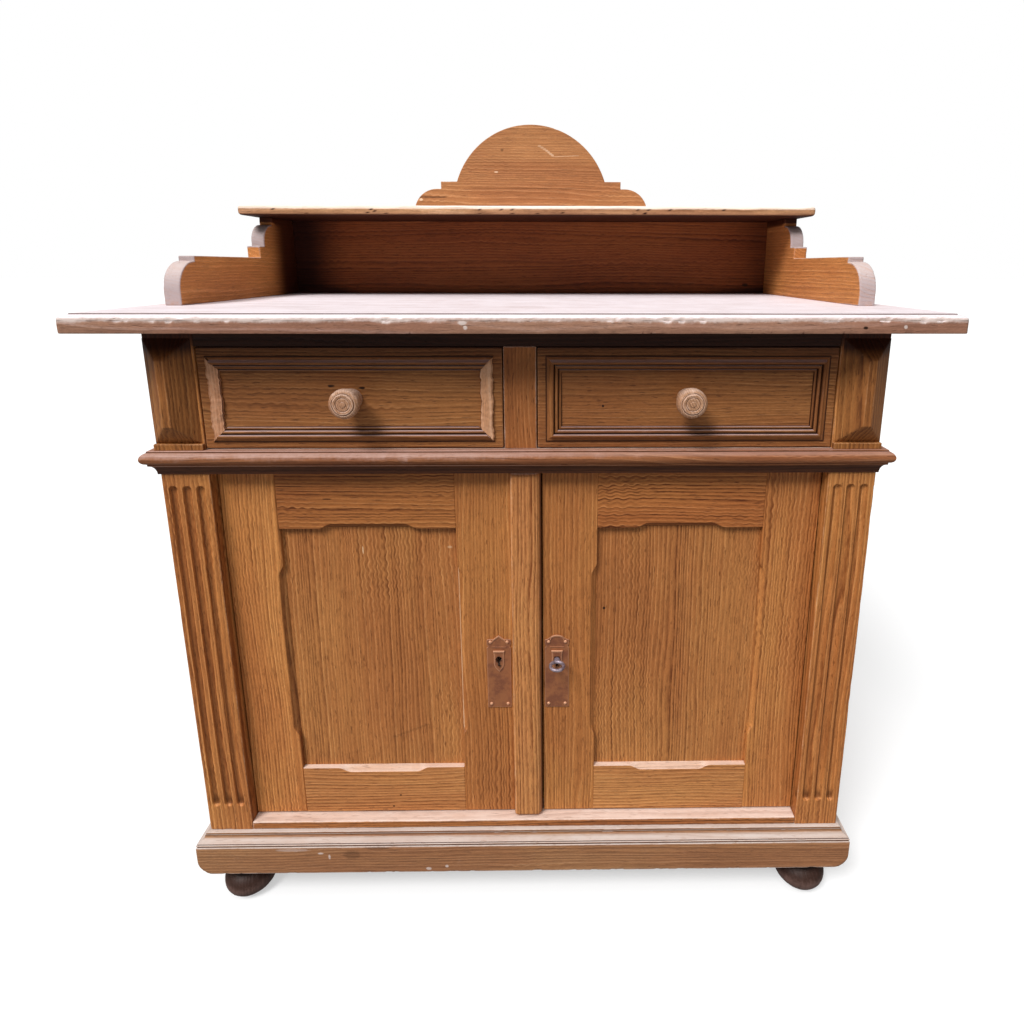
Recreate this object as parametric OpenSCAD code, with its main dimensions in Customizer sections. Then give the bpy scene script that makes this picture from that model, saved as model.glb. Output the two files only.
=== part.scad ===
// Softwood sideboard: cupboard with two doors and two drawers on a plinth with bun feet,
// a moulded worktop, and a low gallery with a shelf and an arched crest above it.
// Millimetres, +Z up, front towards -Y, origin on the floor under the middle of the worktop.
// Inside the modules y = 0 is the front face of the corner posts.

/* [Carcass] */
// Width over the corner posts
body_w = 900; // [840:5:1100]
// Depth from the post faces to the back of the back boards
body_d = 480; // [460:5:560]
// Height of the door zone, between the plinth and the waist rail
door_zone_h = 536; // [500:2:620]
// Height of the waist rail and of the moulding in front of it
waist_h = 32; // [30:1:40]
// Height of the drawer zone, between the waist rail and the worktop
drawer_zone_h = 149; // [135:1:180]
// Width of a corner post
post_w = 60; // [56:1:70]
// Thickness of the corner posts and of the rails between them
post_t = 20; // [18:1:24]
// Thickness of the side boards
side_t = 20; // [16:1:24]
// Thickness of the floor board
floor_t = 20; // [18:1:26]
// Thickness of the back boards
back_t = 12; // [10:1:15]
// Number of back boards
back_count = 5; // [3:1:7]
// Length of the tongue between two back boards
tongue_l = 6; // [4:0.5:8]
// Gap between two back boards
back_gap = 0.3; // [0.1:0.1:1]
// Play of a glued joint, such as a dowel in its hole
glue_gap = 0.05; // [0.03:0.01:0.1]
// Gap between two pieces of moulding at a mitre
mitre_gap = 0.1; // [0.05:0.05:0.5]
// Depth of the waist rail and the top rail
rail_d = 60; // [54:1:70]
// Height of the top rail over the drawers
top_rail_h = 21; // [16:1:30]
// Height of the bottom rail that shows under the doors
ledge_h = 12; // [12:0.5:16]
// Width of the upright between the drawers
divider_w = 40; // [36:1:50]

/* [Pilaster flutes] */
// Number of flutes in a post
flute_count = 3; // [1:1:3]
// Distance between two flutes
flute_pitch = 17; // [14:0.5:17.5]
// Radius of a flute's round section
flute_r = 6; // [5:0.5:6.5]
// Depth of a flute
flute_depth = 4.5; // [3:0.5:5]
// Plain length of post under the flutes
flute_foot = 40; // [30:1:60]
// Plain length of post over the flutes
flute_head = 16; // [12:1:40]

/* [Worktop] */
// Thickness of the worktop
top_t = 22; // [20:1:28]
// Overhang past the posts at each side
top_side = 58; // [35:1:80]
// Overhang in front of the posts
top_front = 52; // [35:1:70]
// Overhang behind the back boards
top_back = 13; // [5:1:25]
// Height of the flat face of the worktop's edge
top_face_h = 15; // [13:0.5:16]
// Width of the rounded part of the edge
top_round_w = 9; // [6:0.5:12]
// Height of the small step inside the rounded edge
top_step = 1.2; // [0.8:0.1:2]

/* [Plinth and feet] */
// Height of a foot
foot_h = 56; // [50:1:70]
// Radius of a foot at its widest
foot_r = 36; // [32:1:38]
// Distance from the plinth's front and back to a foot's widest line
foot_in = 2; // [0:0.5:10]
// Distance from the plinth's ends to a foot's widest line
foot_side_in = 17; // [10:0.5:20]
// Radius of the dowel that fixes a foot
foot_dowel_r = 10; // [8:0.5:12]
// Length of that dowel
foot_dowel_l = 30; // [20:1:36]
// Height of the plinth
plinth_h = 60; // [54:1:80]
// Thickness of the plinth boards
plinth_t = 22; // [20:1:24]
// Distance that the plinth stands in front of the posts
plinth_out = 15; // [12:0.5:18]
// Size of the blocks in the plinth corners
foot_block = 66; // [62:1:74]
// Radius of the rounded lower corners at the plinth's front
plinth_round = 22; // [14:1:24]

/* [Mouldings] */
// Distance that the waist moulding stands out
waist_out = 15; // [12:0.5:18]
// Radius of its half-round nose
waist_nose_r = 7.5; // [6:0.5:8]
// Distance that the diamond blocks stand out
block_out = 20; // [12:1:26]
// Width of the flat on the ridge of a diamond block
block_flat = 9; // [4:1:14]
// Height of the sloping ends of a diamond block
block_slope = 25; // [18:1:32]
// Plain margin over a diamond block
block_top_gap = 11; // [6:1:20]
// Height of the fillet under a diamond block
block_base_h = 8; // [5:1:12]
// Distance that the fillet stands out
block_base_out = 6; // [4:0.5:10]

/* [Doors] */
// Distance of the door faces behind the post faces
door_back_set = 15; // [12:0.5:20]
// Thickness of a door
door_t = 22; // [20:1:26]
// Gap between a door's outer edge and the post
door_side_gap = 1; // [0.8:0.1:2]
// Gap under a door
door_low_gap = 2; // [1.5:0.1:3]
// Gap over a door
door_top_gap = 1.5; // [1:0.1:3]
// Gap between the two doors
meet_gap = 1.5; // [1.2:0.1:3]
// Gap between a door's back and the floor board that stops it
stop_gap = 0.5; // [0.3:0.1:1]
// Width of a door stile
stile_w = 72; // [66:1:84]
// Width of a door's top rail
door_top_w = 80; // [70:1:96]
// Width of a door's bottom rail
door_low_w = 74; // [66:1:96]
// Thickness of a door panel
panel_t = 10; // [8:1:11]
// Distance of the panel behind the door's face
panel_set = 7; // [5:0.5:8]
// Depth of the groove that holds the panel
groove_d = 14; // [12:0.5:16]
// Play of the panel in its groove, each side
panel_play = 0.8; // [0.4:0.1:1.5]
// Depth of the relief along the inner edges of the frame
relief_d = 6.5; // [3:0.5:8]
// Plain length between a corner of the opening and the relief
relief_from = 50; // [35:1:60]
// Length of the curved end of the relief
relief_end = 18; // [10:1:24]
// Length of the tenons on the door rails
tenon_l = 45; // [30:1:52]
// Part of the rail's width that a tenon loses at each edge
tenon_shoulder = 16; // [15:1:20]
// Width of the strip over the meeting of the doors
strip_w = 40; // [34:1:50]
// Distance that the strip stands in front of the doors
strip_out = 11; // [8:0.5:13]
// Distance of the strip's middle to the right of the sideboard's middle
strip_shift = 5; // [0:0.5:8]
// Width of the rounded edges of the strip
strip_round = 5; // [3:0.5:7]

/* [Door pivots] */
// Radius of a pivot pin
pin_r = 3; // [2.5:0.25:4]
// Length of a pin in the door
pin_in_door = 20; // [14:1:30]
// Length of a pin in the rail
pin_in_rail = 8; // [6:0.5:9]
// Clearance round a pin
pin_play = 0.05; // [0.02:0.01:0.1]
// Outer radius of the washer under a door
washer_r = 8; // [6:0.5:10]
// Clearance under the washer
washer_play = 0.2; // [0.1:0.1:0.5]

/* [Drawers] */
// Gap round a drawer front
drawer_gap = 1.3; // [1:0.1:2]
// Clearance between a drawer and its runners and guides
slide_play = 0.3; // [0.2:0.1:0.8]
// Thickness of a drawer front
drawer_front_t = 20; // [18:1:24]
// Length of the drawer box behind the front
drawer_box_l = 400; // [340:5:425]
// Height of the drawer sides
drawer_side_h = 100; // [80:1:108]
// Thickness of the drawer sides and back
drawer_side_t = 12; // [10:1:14]
// Distance of a drawer side inside the front's edge
drawer_side_in = 4; // [3:0.5:6]
// Thickness of the drawer bottom
drawer_low_t = 8; // [6:1:10]
// Height of the drawer bottom over the lower edge of the sides
drawer_low_z = 8; // [6:1:12]
// Depth of the grooves that hold the drawer bottom
drawer_groove = 5; // [4:0.5:6]
// Height of a runner
runner_h = 18; // [14:1:24]
// Height of the guide on a runner
guide_h = 20; // [12:1:30]
// Distance from the front's edge to the moulding on it
frame_in = 10; // [8:0.5:16]
// Width of that moulding
frame_w = 20; // [16:0.5:22]
// Distance that the moulding stands out
frame_out = 6; // [4:0.5:9]
// Radius of a knob
knob_r = 18; // [15:0.5:20]
// Distance from the drawer front to the end of a knob
knob_l = 36; // [30:1:40]
// Radius of a knob's base
knob_base_r = 13; // [10:0.5:14]
// Radius of a knob's dowel
knob_dowel_r = 5; // [4:0.5:6]

/* [Gallery] */
// Thickness of the gallery's side boards
gal_side_t = 22; // [18:1:25]
// Distance from the worktop's ends to the side boards
gal_in = 36; // [20:1:50]
// Distance of the side boards' front edge behind the posts
gal_front = 88; // [60:1:120]
// Height of the space under the shelf
gal_h = 134; // [125:1:170]
// Thickness of the gallery's back and of the crest
gal_back_t = 18; // [16:1:22]
// Distance from the worktop's back edge to the gallery's back
gal_back_in = 12; // [6:1:20]
// Height of the arm of a side board
arm_h = 65; // [60:1:70]
// Radius of the rounded front of the arm
arm_r = 40; // [30:1:44]
// Height of the small step on the arm
arm_step = 7; // [4:0.5:10]
// Height of the block where the arm meets the upright
block_h = 19; // [14:1:22]
// Depth of that block in front of the upright's curve
block_d = 16; // [10:1:20]
// Radius of the curve under the shelf
neck_r = 33; // [26:1:36]
// Thickness of the shelf
shelf_t = 16; // [14:1:20]
// Depth of the shelf
shelf_d = 160; // [140:1:190]
// Overhang of the shelf past the side boards
shelf_side = 9; // [5:0.5:18]
// Distance that the shelf stands in front of the uprights
shelf_front = 52; // [35:1:60]

/* [Crest] */
// Half of the crest's width at its foot
crest_half = 219; // [200:1:260]
// Radius of the rounded feet of the crest
crest_foot_r = 43; // [36:1:50]
// Width of the step beside a rounded foot
crest_ledge = 8; // [5:0.5:14]
// Height of the step under the arch
crest_step = 13; // [9:0.5:18]
// Width of the step beside the arch
crest_shoulder = 30; // [20:1:40]
// Height of the arch over the step
crest_rise = 100; // [80:1:120]

/* [Inner shelf] */
// Height of the inner shelf over the floor board
inner_shelf_z = 244; // [200:1:300]
// Thickness of the inner shelf
inner_shelf_t = 18; // [16:1:24]
// Distance of the inner shelf's front behind the door backs
inner_shelf_set = 35; // [30:1:80]
// Play of the inner shelf between the sides
inner_shelf_play = 0.4; // [0.2:0.1:1]
// Height and width of the battens under it
batten = 18; // [14:1:24]

/* [Key plates, lock and bolt] */
// Width of a key plate
plate_w = 33; // [28:0.5:36]
// Height of a key plate, with its crest
plate_h = 112; // [100:1:120]
// Thickness of a key plate
plate_t = 1.5; // [1:0.1:2]
// Height of the crest of a key plate
plate_crest = 10; // [7:0.5:12]
// Distance from the key plate to the edge of the door or strip
plate_in = 2.5; // [2:0.5:6]
// Height of the key plate's lower edge over the door's lower edge
plate_z = 173; // [150:1:200]
// Radius of a nail head on a key plate
nail_r = 2.2; // [1.5:0.1:2.5]
// Radius of a nail's shank
nail_shank_r = 0.7; // [0.5:0.1:0.9]
// Length of a nail in the wood
nail_l = 7; // [5:1:10]
// Height of the key over the lower edge of its plate
key_z = 76; // [70:1:84]
// Radius of the key's shank
key_r = 3; // [2.5:0.1:3.4]
// Clearance of the key's shank in the lock
key_play = 0.06; // [0.03:0.01:0.1]
// Radius of the ring of the key's bow, at its middle line
bow_r = 9; // [8:0.5:10]
// Radius of the bow's wire
bow_wire_r = 2.2; // [1.8:0.1:2.6]
// Distance from the door's face to the nearest point of the bow
bow_gap = 5; // [4:0.5:9]
// Reach of the key's bit from the axis
bit_reach = 10; // [8:0.5:11]
// Width of the lock case
lock_w = 42; // [40:1:50]
// Height of the lock case
lock_h = 64; // [60:1:76]
// Depth of the lock case
lock_d = 14; // [14:0.5:17]
// Wall of the lock case
lock_wall = 1.2; // [1:0.1:1.5]
// Travel of the lock's bolt
bolt_throw = 14; // [12:0.5:16]
// Height of the lock's bolt
bolt_h = 12; // [10:0.5:14]
// Clearance round the lock's bolt
bolt_play = 0.3; // [0.2:0.1:0.5]
// Radius of the sliding bolt on the left door
rod_r = 4; // [3:0.25:5]
// Length of the sliding bolt
rod_l = 88; // [80:1:110]
// Travel of the sliding bolt
rod_throw = 12; // [10:0.5:13]
// Distance of the sliding bolt's end under the waist rail
rod_gap = 3; // [2:0.5:5]
// Clearance of the sliding bolt in its guides
rod_play = 0.1; // [0.05:0.05:0.2]

/* [Hidden] */
$fn = 48;
eps = 0.01;
through = 400;

// Colours
wood = "#a9712f";
wood_dark = "#7d4b22";
wood_pale = "#c9a58c";
wood_inner = "#b98a55";
iron = "#4c4744";
plate_metal = "#6b3f2c";

// Levels
plinth_z = foot_h;
body_z = plinth_z + plinth_h;
waist_z = body_z + door_zone_h;
drawer_z = waist_z + waist_h;
top_z = drawer_z + drawer_zone_h;
gal_z = top_z + top_t;
shelf_z = gal_z + gal_h;
crest_z = shelf_z + shelf_t;
top_rail_z = top_z - top_rail_h;
ledge_z = body_z + ledge_h;
floor_z = body_z + floor_t;

// Widths and depths
half_w = body_w / 2;
open_half = half_w - post_w;
side_in = half_w - side_t;
back_y = body_d - back_t;
top_half = half_w + top_side;
top_d = top_front + body_d + top_back;
front_y = top_front - top_d / 2;
foot_x = half_w + plinth_out - foot_side_in - foot_r;
// Depth of the front and the back feet
foot_y = [foot_in + foot_r - plinth_out, body_d - foot_in - foot_r];

// Doors
door_y = door_back_set;
door_back = door_y + door_t;
stop_y = door_back + stop_gap;
door_low = ledge_z + door_low_gap;
door_high = waist_z - door_top_gap;
door_h = door_high - door_low;
door_outer = open_half - door_side_gap;
meet_x = strip_shift + strip_w / 2;
open_low = door_low + door_low_w;
open_high = door_high - door_top_w;
pivot_x = door_outer - door_t / 2;
pivot_y = door_y + door_t / 2;
groove_y = door_y + panel_set;
// Each door is written as [outer edge, hinge side of the opening, meeting side of the opening, meeting edge]
left_x = [-door_outer, -door_outer + stile_w, meet_x - strip_w - stile_w, meet_x];
right_x = [door_outer, door_outer - stile_w, meet_x + meet_gap + stile_w, meet_x + meet_gap];

// Drawers
bay_in = divider_w / 2;
drawer_low = drawer_z + drawer_gap;
drawer_high = top_rail_z - drawer_gap;
drawer_x0 = bay_in + drawer_gap;
drawer_x1 = open_half - drawer_gap;
drawer_mid_x = (drawer_x0 + drawer_x1) / 2;
drawer_mid_z = (drawer_low + drawer_high) / 2;
box_x0 = drawer_x0 + drawer_side_in;
box_x1 = drawer_x1 - drawer_side_in;
box_z = drawer_z + slide_play;
drawer_floor_z = box_z + drawer_low_z;

// Gallery
gal_out_x = top_half - gal_in;
gal_in_x = gal_out_x - gal_side_t;
gal_end_y = body_d + top_back - gal_back_in;
gal_back_y = gal_end_y - gal_back_t;
neck_y = gal_end_y - shelf_d + shelf_front;
shelf_y = gal_end_y - shelf_d;

// Fittings
plate_low = door_low + plate_z;
left_plate_x = meet_x - strip_w - plate_in - plate_w / 2;
right_plate_x = right_x[3] + plate_in + plate_w / 2;
key_x = right_plate_x;
key_height = plate_low + key_z;
key_hole_r = key_r + 1.2;
bit_w = 2.6;
bit_y = door_back + lock_d - lock_wall - 4.6;
bit_l = 3.4;
lock_x = right_x[3] + 1.5;
lock_z = key_height - lock_h / 2 - 2;
bolt_y = door_back + lock_wall + 1.2;
bolt_t = 4.6;
bolt_z = lock_z + lock_wall + 3;
bolt_l = 30;
keep_x = meet_x - 3;
keep_w = 17;
rod_x = meet_x - strip_w - 15;
rod_y = door_back + 7;
rod_top = waist_z - rod_gap;
staple_w = 16;
staple_h = 10;
staple_low = rod_top - rod_l + 8;
staple_high = rod_top - 34;
handle_z = (staple_low + staple_high) / 2;

// Points on an arc, from angle a to angle b in n steps
function arc(cx, cy, r, a, b, n) =
    [for (i = [0:n]) let (t = a + (b - a) * i / n) [cx + r * cos(t), cy + r * sin(t)]];

// Points along an edge of length l whose middle is set back by depth, with S-shaped ends
function relief_edge(l, depth, steps = 8) = concat(
    [[0, 0]],
    [for (i = [0:steps]) let (t = i / steps) [relief_from + relief_end * t, depth * (1 - cos(180 * t)) / 2]],
    [for (i = [0:steps]) let (t = i / steps)
        [l - relief_from - relief_end * (1 - t), depth * (1 + cos(180 * t)) / 2]],
    [[l, 0]]
);

// Moves a module's pieces from the post faces to the sideboard's own origin
module place() {
    translate([0, front_y, 0]) children();
}

// A block between two corners
module block(a, b) {
    translate([min(a[0], b[0]), min(a[1], b[1]), min(a[2], b[2])])
        cube([abs(b[0] - a[0]), abs(b[1] - a[1]), abs(b[2] - a[2])]);
}

// Extrudes an outline given in x and z, from y0 to y1
module plate_xz(y0, y1) {
    translate([0, y1, 0]) rotate([90, 0, 0]) linear_extrude(y1 - y0) children();
}

// Extrudes an outline given in y and z, from x0 to x1
module plate_yz(x0, x1) {
    translate([x0, 0, 0]) rotate([90, 0, 90]) linear_extrude(x1 - x0) children();
}

// Mirrors a piece of the right side to the left one
module side(s) {
    mirror([s < 0 ? 1 : 0, 0, 0]) children();
}

// Feet and plinth

module foot(sx, back) {
    place() color(wood_dark) translate([sx * foot_x, foot_y[back], 0]) rotate_extrude() polygon(concat(
        [[0, 0], [foot_r * 0.66, 0]],
        arc(foot_r - foot_h * 0.34, foot_h * 0.36, foot_h * 0.34, -60, 62, 12),
        [[foot_r * 0.66, foot_h * 0.76], [foot_r * 0.66, foot_h * 0.84],
         [foot_r * 0.86, foot_h * 0.88], [foot_r * 0.86, foot_h],
         [foot_dowel_r, foot_h], [foot_dowel_r, foot_h + foot_dowel_l], [0, foot_h + foot_dowel_l]]
    ));
}

module foot_blocks() {
    x1 = half_w + plinth_out - plinth_t;
    y_front = plinth_t - plinth_out;
    place() color(wood_inner) for (s = [-1, 1], back = [0, 1]) side(s) difference() {
        if (back == 1) block([x1 - foot_block, body_d - post_t - foot_block, plinth_z],
                             [x1, body_d - post_t, body_z]);
        else block([x1 - foot_block, y_front, plinth_z], [x1, y_front + foot_block, body_z]);
        translate([foot_x, foot_y[back], plinth_z - eps])
            cylinder(r = foot_dowel_r + glue_gap, h = foot_dowel_l + 1);
    }
}

// Section of the plinth board: first value outwards from the post faces, second value height
module plinth_section() {
    in = plinth_out - plinth_t;
    out = plinth_out;
    cove = plinth_out - 9;
    polygon(concat(
        [[in, plinth_z], [out - 3, plinth_z]],
        arc(out - 3, plinth_z + 3, 3, -70, 0, 4),
        [[out, body_z - 15.5], [out - 1.2, body_z - 15], [out - 0.6, body_z - 14.2], [out - 0.6, body_z - 8.5]],
        [for (p = arc(out - 0.6, body_z - 2.5, 1, -90, -180, 6))
            [out - 0.6 + (p[0] - out + 0.6) * 8.4, body_z - 2.5 + (p[1] - body_z + 2.5) * 4.5]],
        [[cove - 1.5, body_z - 2.5], [cove - 1.5, body_z], [in, body_z]]
    ));
}

// What a ball-shaped rounding takes off the plinth's lower front corner
module plinth_corner() {
    w = half_w + plinth_out;
    r = plinth_round;
    difference() {
        block([w - r, -plinth_out - 1, plinth_z - 1], [w + 1, r - plinth_out, plinth_z + r]);
        translate([w - r, r - plinth_out, plinth_z + r]) sphere(r = r * sqrt(2), $fn = 96);
    }
}

module plinth_front() {
    w = half_w + plinth_out;
    inner = w - plinth_t;
    place() color(wood) difference() {
        intersection() {
            translate([-w, 0, 0]) rotate([90, 0, 90]) linear_extrude(2 * w) mirror([1, 0]) plinth_section();
            translate([0, 0, plinth_z - 1]) linear_extrude(plinth_h + 2) polygon([
                [-w, -plinth_out], [w, -plinth_out], [inner, plinth_t - plinth_out],
                [-inner, plinth_t - plinth_out]
            ]);
        }
        for (s = [-1, 1]) side(s) plinth_corner();
    }
}

module plinth_returns() {
    w = half_w + plinth_out;
    place() color(wood) for (s = [-1, 1]) side(s) difference() {
        intersection() {
            translate([half_w, body_d, 0]) rotate([90, 0, 0])
                linear_extrude(body_d + plinth_out) plinth_section();
            translate([0, 0, plinth_z - 1]) linear_extrude(plinth_h + 2) polygon([
                [w, -plinth_out], [w, body_d], [w - plinth_t, body_d],
                [w - plinth_t, plinth_t - plinth_out]
            ]);
        }
        plinth_corner();
    }
}

module plinth_back() {
    w = half_w + plinth_out - plinth_t;
    place() color(wood_inner) block([-w, body_d - post_t, plinth_z], [w, body_d, body_z]);
}

// Carcass

module side_board(s) {
    place() color(wood) side(s) block([side_in, post_t, body_z], [half_w, back_y, top_z]);
}

module floor_board() {
    place() color(wood_inner) block([-side_in, stop_y, body_z], [side_in, back_y, floor_z]);
}

module back_boards() {
    w = body_w / back_count;
    third = back_t / 3;
    place() color(wood_inner) for (i = [0:back_count - 1]) {
        x = -half_w + i * w;
        difference() {
            union() {
                block([x, back_y, body_z], [x + w - (i < back_count - 1 ? back_gap : 0), body_d, top_z]);
                if (i < back_count - 1)
                    block([x + w - 1, back_y + third, body_z], [x + w + tongue_l, back_y + 2 * third, top_z]);
            }
            if (i > 0)
                block([x - 1, back_y + third - glue_gap, body_z - 1],
                      [x + tongue_l + back_gap, back_y + 2 * third + glue_gap, top_z + 1]);
        }
    }
}

module bottom_rail() {
    place() color(wood) difference() {
        union() {
            block([-open_half, 0, body_z], [open_half, post_t, ledge_z]);
            block([-side_in, post_t, body_z], [side_in, stop_y, ledge_z]);
        }
        for (s = [-1, 1]) translate([s * pivot_x, pivot_y, ledge_z - pin_in_rail - 1])
            cylinder(r = pin_r + pin_play, h = pin_in_rail + 2);
    }
}

module waist_rail() {
    place() color(wood) difference() {
        union() {
            block([-open_half, 0, waist_z], [open_half, post_t, drawer_z]);
            block([-side_in, post_t, waist_z], [side_in, rail_d, drawer_z]);
        }
        for (s = [-1, 1]) translate([s * pivot_x, pivot_y, waist_z - 1])
            cylinder(r = pin_r + pin_play, h = pin_in_rail + 2);
        translate([rod_x, rod_y, waist_z - 1])
            cylinder(r = rod_r + rod_play, h = rod_throw - rod_gap + 2.5);
    }
}

module top_rail() {
    place() color(wood_dark) union() {
        block([-open_half, 0, top_rail_z], [open_half, post_t, top_z]);
        block([-side_in, post_t, top_rail_z], [side_in, rail_d, top_z]);
    }
}

module drawer_divider() {
    place() color(wood) block([-bay_in, 0, drawer_z], [bay_in, post_t, top_rail_z]);
}

module post(s) {
    x_mid = half_w - post_w / 2;
    z0 = body_z + flute_foot + flute_r;
    z1 = waist_z - flute_head - flute_r;
    place() color(wood) side(s) difference() {
        block([open_half, 0, body_z], [half_w, post_t, top_z]);
        for (i = [0:flute_count - 1])
            translate([x_mid + (i - (flute_count - 1) / 2) * flute_pitch, flute_depth - flute_r, z0]) {
                cylinder(r = flute_r, h = z1 - z0);
                sphere(r = flute_r);
                translate([0, 0, z1 - z0]) sphere(r = flute_r);
            }
    }
}

module diamond_block(s) {
    x0 = open_half + 3;
    mid = (x0 + half_w) / 2;
    z0 = drawer_z + block_base_h;
    z1 = top_z - block_top_gap;
    place() color(wood) side(s) {
        intersection() {
            translate([0, 0, z0]) linear_extrude(z1 - z0) polygon([
                [x0, 0], [half_w, 0], [mid + block_flat / 2, -block_out], [mid - block_flat / 2, -block_out]
            ]);
            plate_yz(x0, half_w) polygon([
                [0, z0], [0, z1], [-block_out, z1 - block_slope], [-block_out, z0 + block_slope]
            ]);
        }
        block([open_half, -block_base_out, drawer_z], [half_w, 0, z0]);
    }
}

// Section of the waist moulding: outwards from the posts, and height over its lower edge
module waist_section() {
    nose_z = waist_h - 2 - waist_nose_r;
    nose_x = waist_out - waist_nose_r;
    cove_z = nose_z - waist_nose_r - 2.5;
    polygon(concat(
        [[0, 0], [2, 0]],
        [for (a = [0:15:90]) [2 + (nose_x - 0.5) * (1 - cos(a)), cove_z * sin(a)]],
        [[nose_x + 1.5, nose_z - waist_nose_r]],
        arc(nose_x, nose_z, waist_nose_r, -75, 75, 10),
        [[nose_x + 1, nose_z + waist_nose_r], [nose_x + 1, waist_h], [0, waist_h]]
    ));
}

module waist_moulding() {
    w = half_w + waist_out;
    place() color(wood) {
        intersection() {
            translate([-w, 0, waist_z]) rotate([90, 0, 90]) linear_extrude(2 * w)
                mirror([1, 0]) waist_section();
            translate([0, 0, waist_z - 1]) linear_extrude(waist_h + 2)
                polygon([[-half_w, 0], [half_w, 0], [w, -waist_out], [-w, -waist_out]]);
        }
        for (s = [-1, 1]) side(s) intersection() {
            translate([half_w, body_d, waist_z]) rotate([90, 0, 0])
                linear_extrude(body_d + waist_out) waist_section();
            translate([0, 0, waist_z - 1]) linear_extrude(waist_h + 2)
                polygon([[half_w, mitre_gap], [w, mitre_gap - waist_out], [w, body_d], [half_w, body_d]]);
        }
    }
}

module drawer_runners() {
    reach = 14;
    guide_x = box_x1 + slide_play;
    mid_x = box_x0 - slide_play;
    place() color(wood_inner) {
        for (s = [-1, 1]) side(s) union() {
            block([guide_x - reach, rail_d, drawer_z - runner_h], [side_in, back_y, drawer_z]);
            block([guide_x, rail_d, drawer_z - eps], [side_in, back_y, drawer_z + guide_h]);
        }
        union() {
            block([-mid_x - reach, rail_d, drawer_z - runner_h], [mid_x + reach, back_y, drawer_z]);
            block([-mid_x, rail_d, drawer_z - eps], [mid_x, back_y, drawer_z + guide_h]);
        }
    }
}

module inner_shelf() {
    x = side_in - inner_shelf_play;
    z = floor_z + inner_shelf_z;
    place() color(wood_inner) block([-x, door_back + inner_shelf_set, z], [x, back_y, z + inner_shelf_t]);
}

module shelf_battens() {
    z = floor_z + inner_shelf_z;
    place() color(wood_inner) for (s = [-1, 1]) side(s)
        block([side_in - batten, door_back + inner_shelf_set + 10, z - batten], [side_in, back_y, z]);
}

// Worktop, gallery and crest

// Edge of the worktop: inwards from the end, and height over its underside
function top_edge() = concat(
    [[0.8, 0], [0, 0.8], [0, top_face_h]],
    [for (a = [0:15:90])
        [top_round_w * (1 - cos(a)), top_face_h + (top_t - top_step - top_face_h) * sin(a)]],
    [[top_round_w, top_t]]
);

module worktop() {
    e = top_edge();
    n = len(e) - 1;
    place() color(wood_pale) translate([0, 0, top_z]) intersection() {
        plate_yz(-top_half, top_half) polygon(concat(
            [for (p = e) [p[0] - top_front, p[1]]], [[body_d + top_back, top_t], [body_d + top_back, 0]]
        ));
        plate_xz(-top_front, body_d + top_back) polygon(concat(
            [for (p = e) [p[0] - top_half, p[1]]], [for (i = [n:-1:0]) [top_half - e[i][0], e[i][1]]]
        ));
    }
}

module gallery_side(s) {
    arm_top = arm_h - arm_step;
    step_y = gal_front + arm_r + 1;
    curve_y = neck_y - neck_r;
    curve_z = gal_h - 13;
    place() color(wood) side(s) translate([0, 0, gal_z]) plate_yz(gal_in_x, gal_out_x) polygon(concat(
        [[gal_end_y, 0], [gal_front, 0]],
        arc(gal_front + arm_r, arm_top - arm_r, arm_r, 180, 90, 12),
        [[step_y, arm_top], [step_y, arm_h], [curve_y - block_d, arm_h],
         [curve_y - block_d, arm_h + block_h], [curve_y, arm_h + block_h]],
        arc(neck_y, curve_z - neck_r, neck_r, 180, 90, 10),
        [[neck_y + 4, curve_z], [neck_y + 4, gal_h], [gal_end_y, gal_h]]
    ));
}

module gallery_back() {
    place() color(wood_dark) block([-gal_in_x, gal_back_y, gal_z], [gal_in_x, gal_end_y, shelf_z]);
}

// Rounded edge of the shelf: inwards from the end, and height over its underside
function shelf_edge() = concat(
    [for (a = [90:-15:0]) [3 * (1 - cos(a)), 3 * (1 - sin(a))]],
    [for (a = [0:15:90]) [(shelf_t - 5) * (1 - cos(a)), 5 + (shelf_t - 5) * sin(a)]]
);

module gallery_shelf() {
    x = gal_out_x + shelf_side;
    e = shelf_edge();
    n = len(e) - 1;
    place() color(wood_pale) translate([0, 0, shelf_z]) intersection() {
        plate_yz(-x, x) polygon(concat(
            [for (p = e) [p[0] + shelf_y, p[1]]], [[gal_end_y, shelf_t], [gal_end_y, 0]]
        ));
        plate_xz(shelf_y, gal_end_y) polygon(concat(
            [for (p = e) [p[0] - x, p[1]]], [for (i = [n:-1:0]) [x - e[i][0], e[i][1]]]
        ));
    }
}

// Right half of the crest's outline, from its foot up to the top of the arch
function crest_half_outline() =
    let (
        foot_in = crest_half - crest_foot_r,
        step_x = foot_in - crest_ledge,
        arch_x = step_x - crest_shoulder,
        arch_z = crest_foot_r + crest_step,
        arch_r = (arch_x * arch_x + crest_rise * crest_rise) / (2 * crest_rise),
        start = asin((arch_r - crest_rise) / arch_r)
    )
    concat(
        arc(foot_in, 0, crest_foot_r, 0, 90, 10),
        [[step_x, crest_foot_r], [step_x, arch_z]],
        arc(0, arch_z + crest_rise - arch_r, arch_r, start, 90, 24)
    );

module crest() {
    h = crest_half_outline();
    n = len(h) - 1;
    place() color(wood) translate([0, 0, crest_z]) plate_xz(gal_back_y, gal_end_y) polygon(concat(
        h, [for (i = [n - 1:-1:0]) [-h[i][0], h[i][1]]]
    ));
}

// Doors

// Groove for the panel
module panel_groove(x) {
    lo = min(x[1], x[2]) - groove_d;
    hi = max(x[1], x[2]) + groove_d;
    block([lo, groove_y, open_low - groove_d], [hi, groove_y + panel_t, open_high + groove_d]);
}

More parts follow.
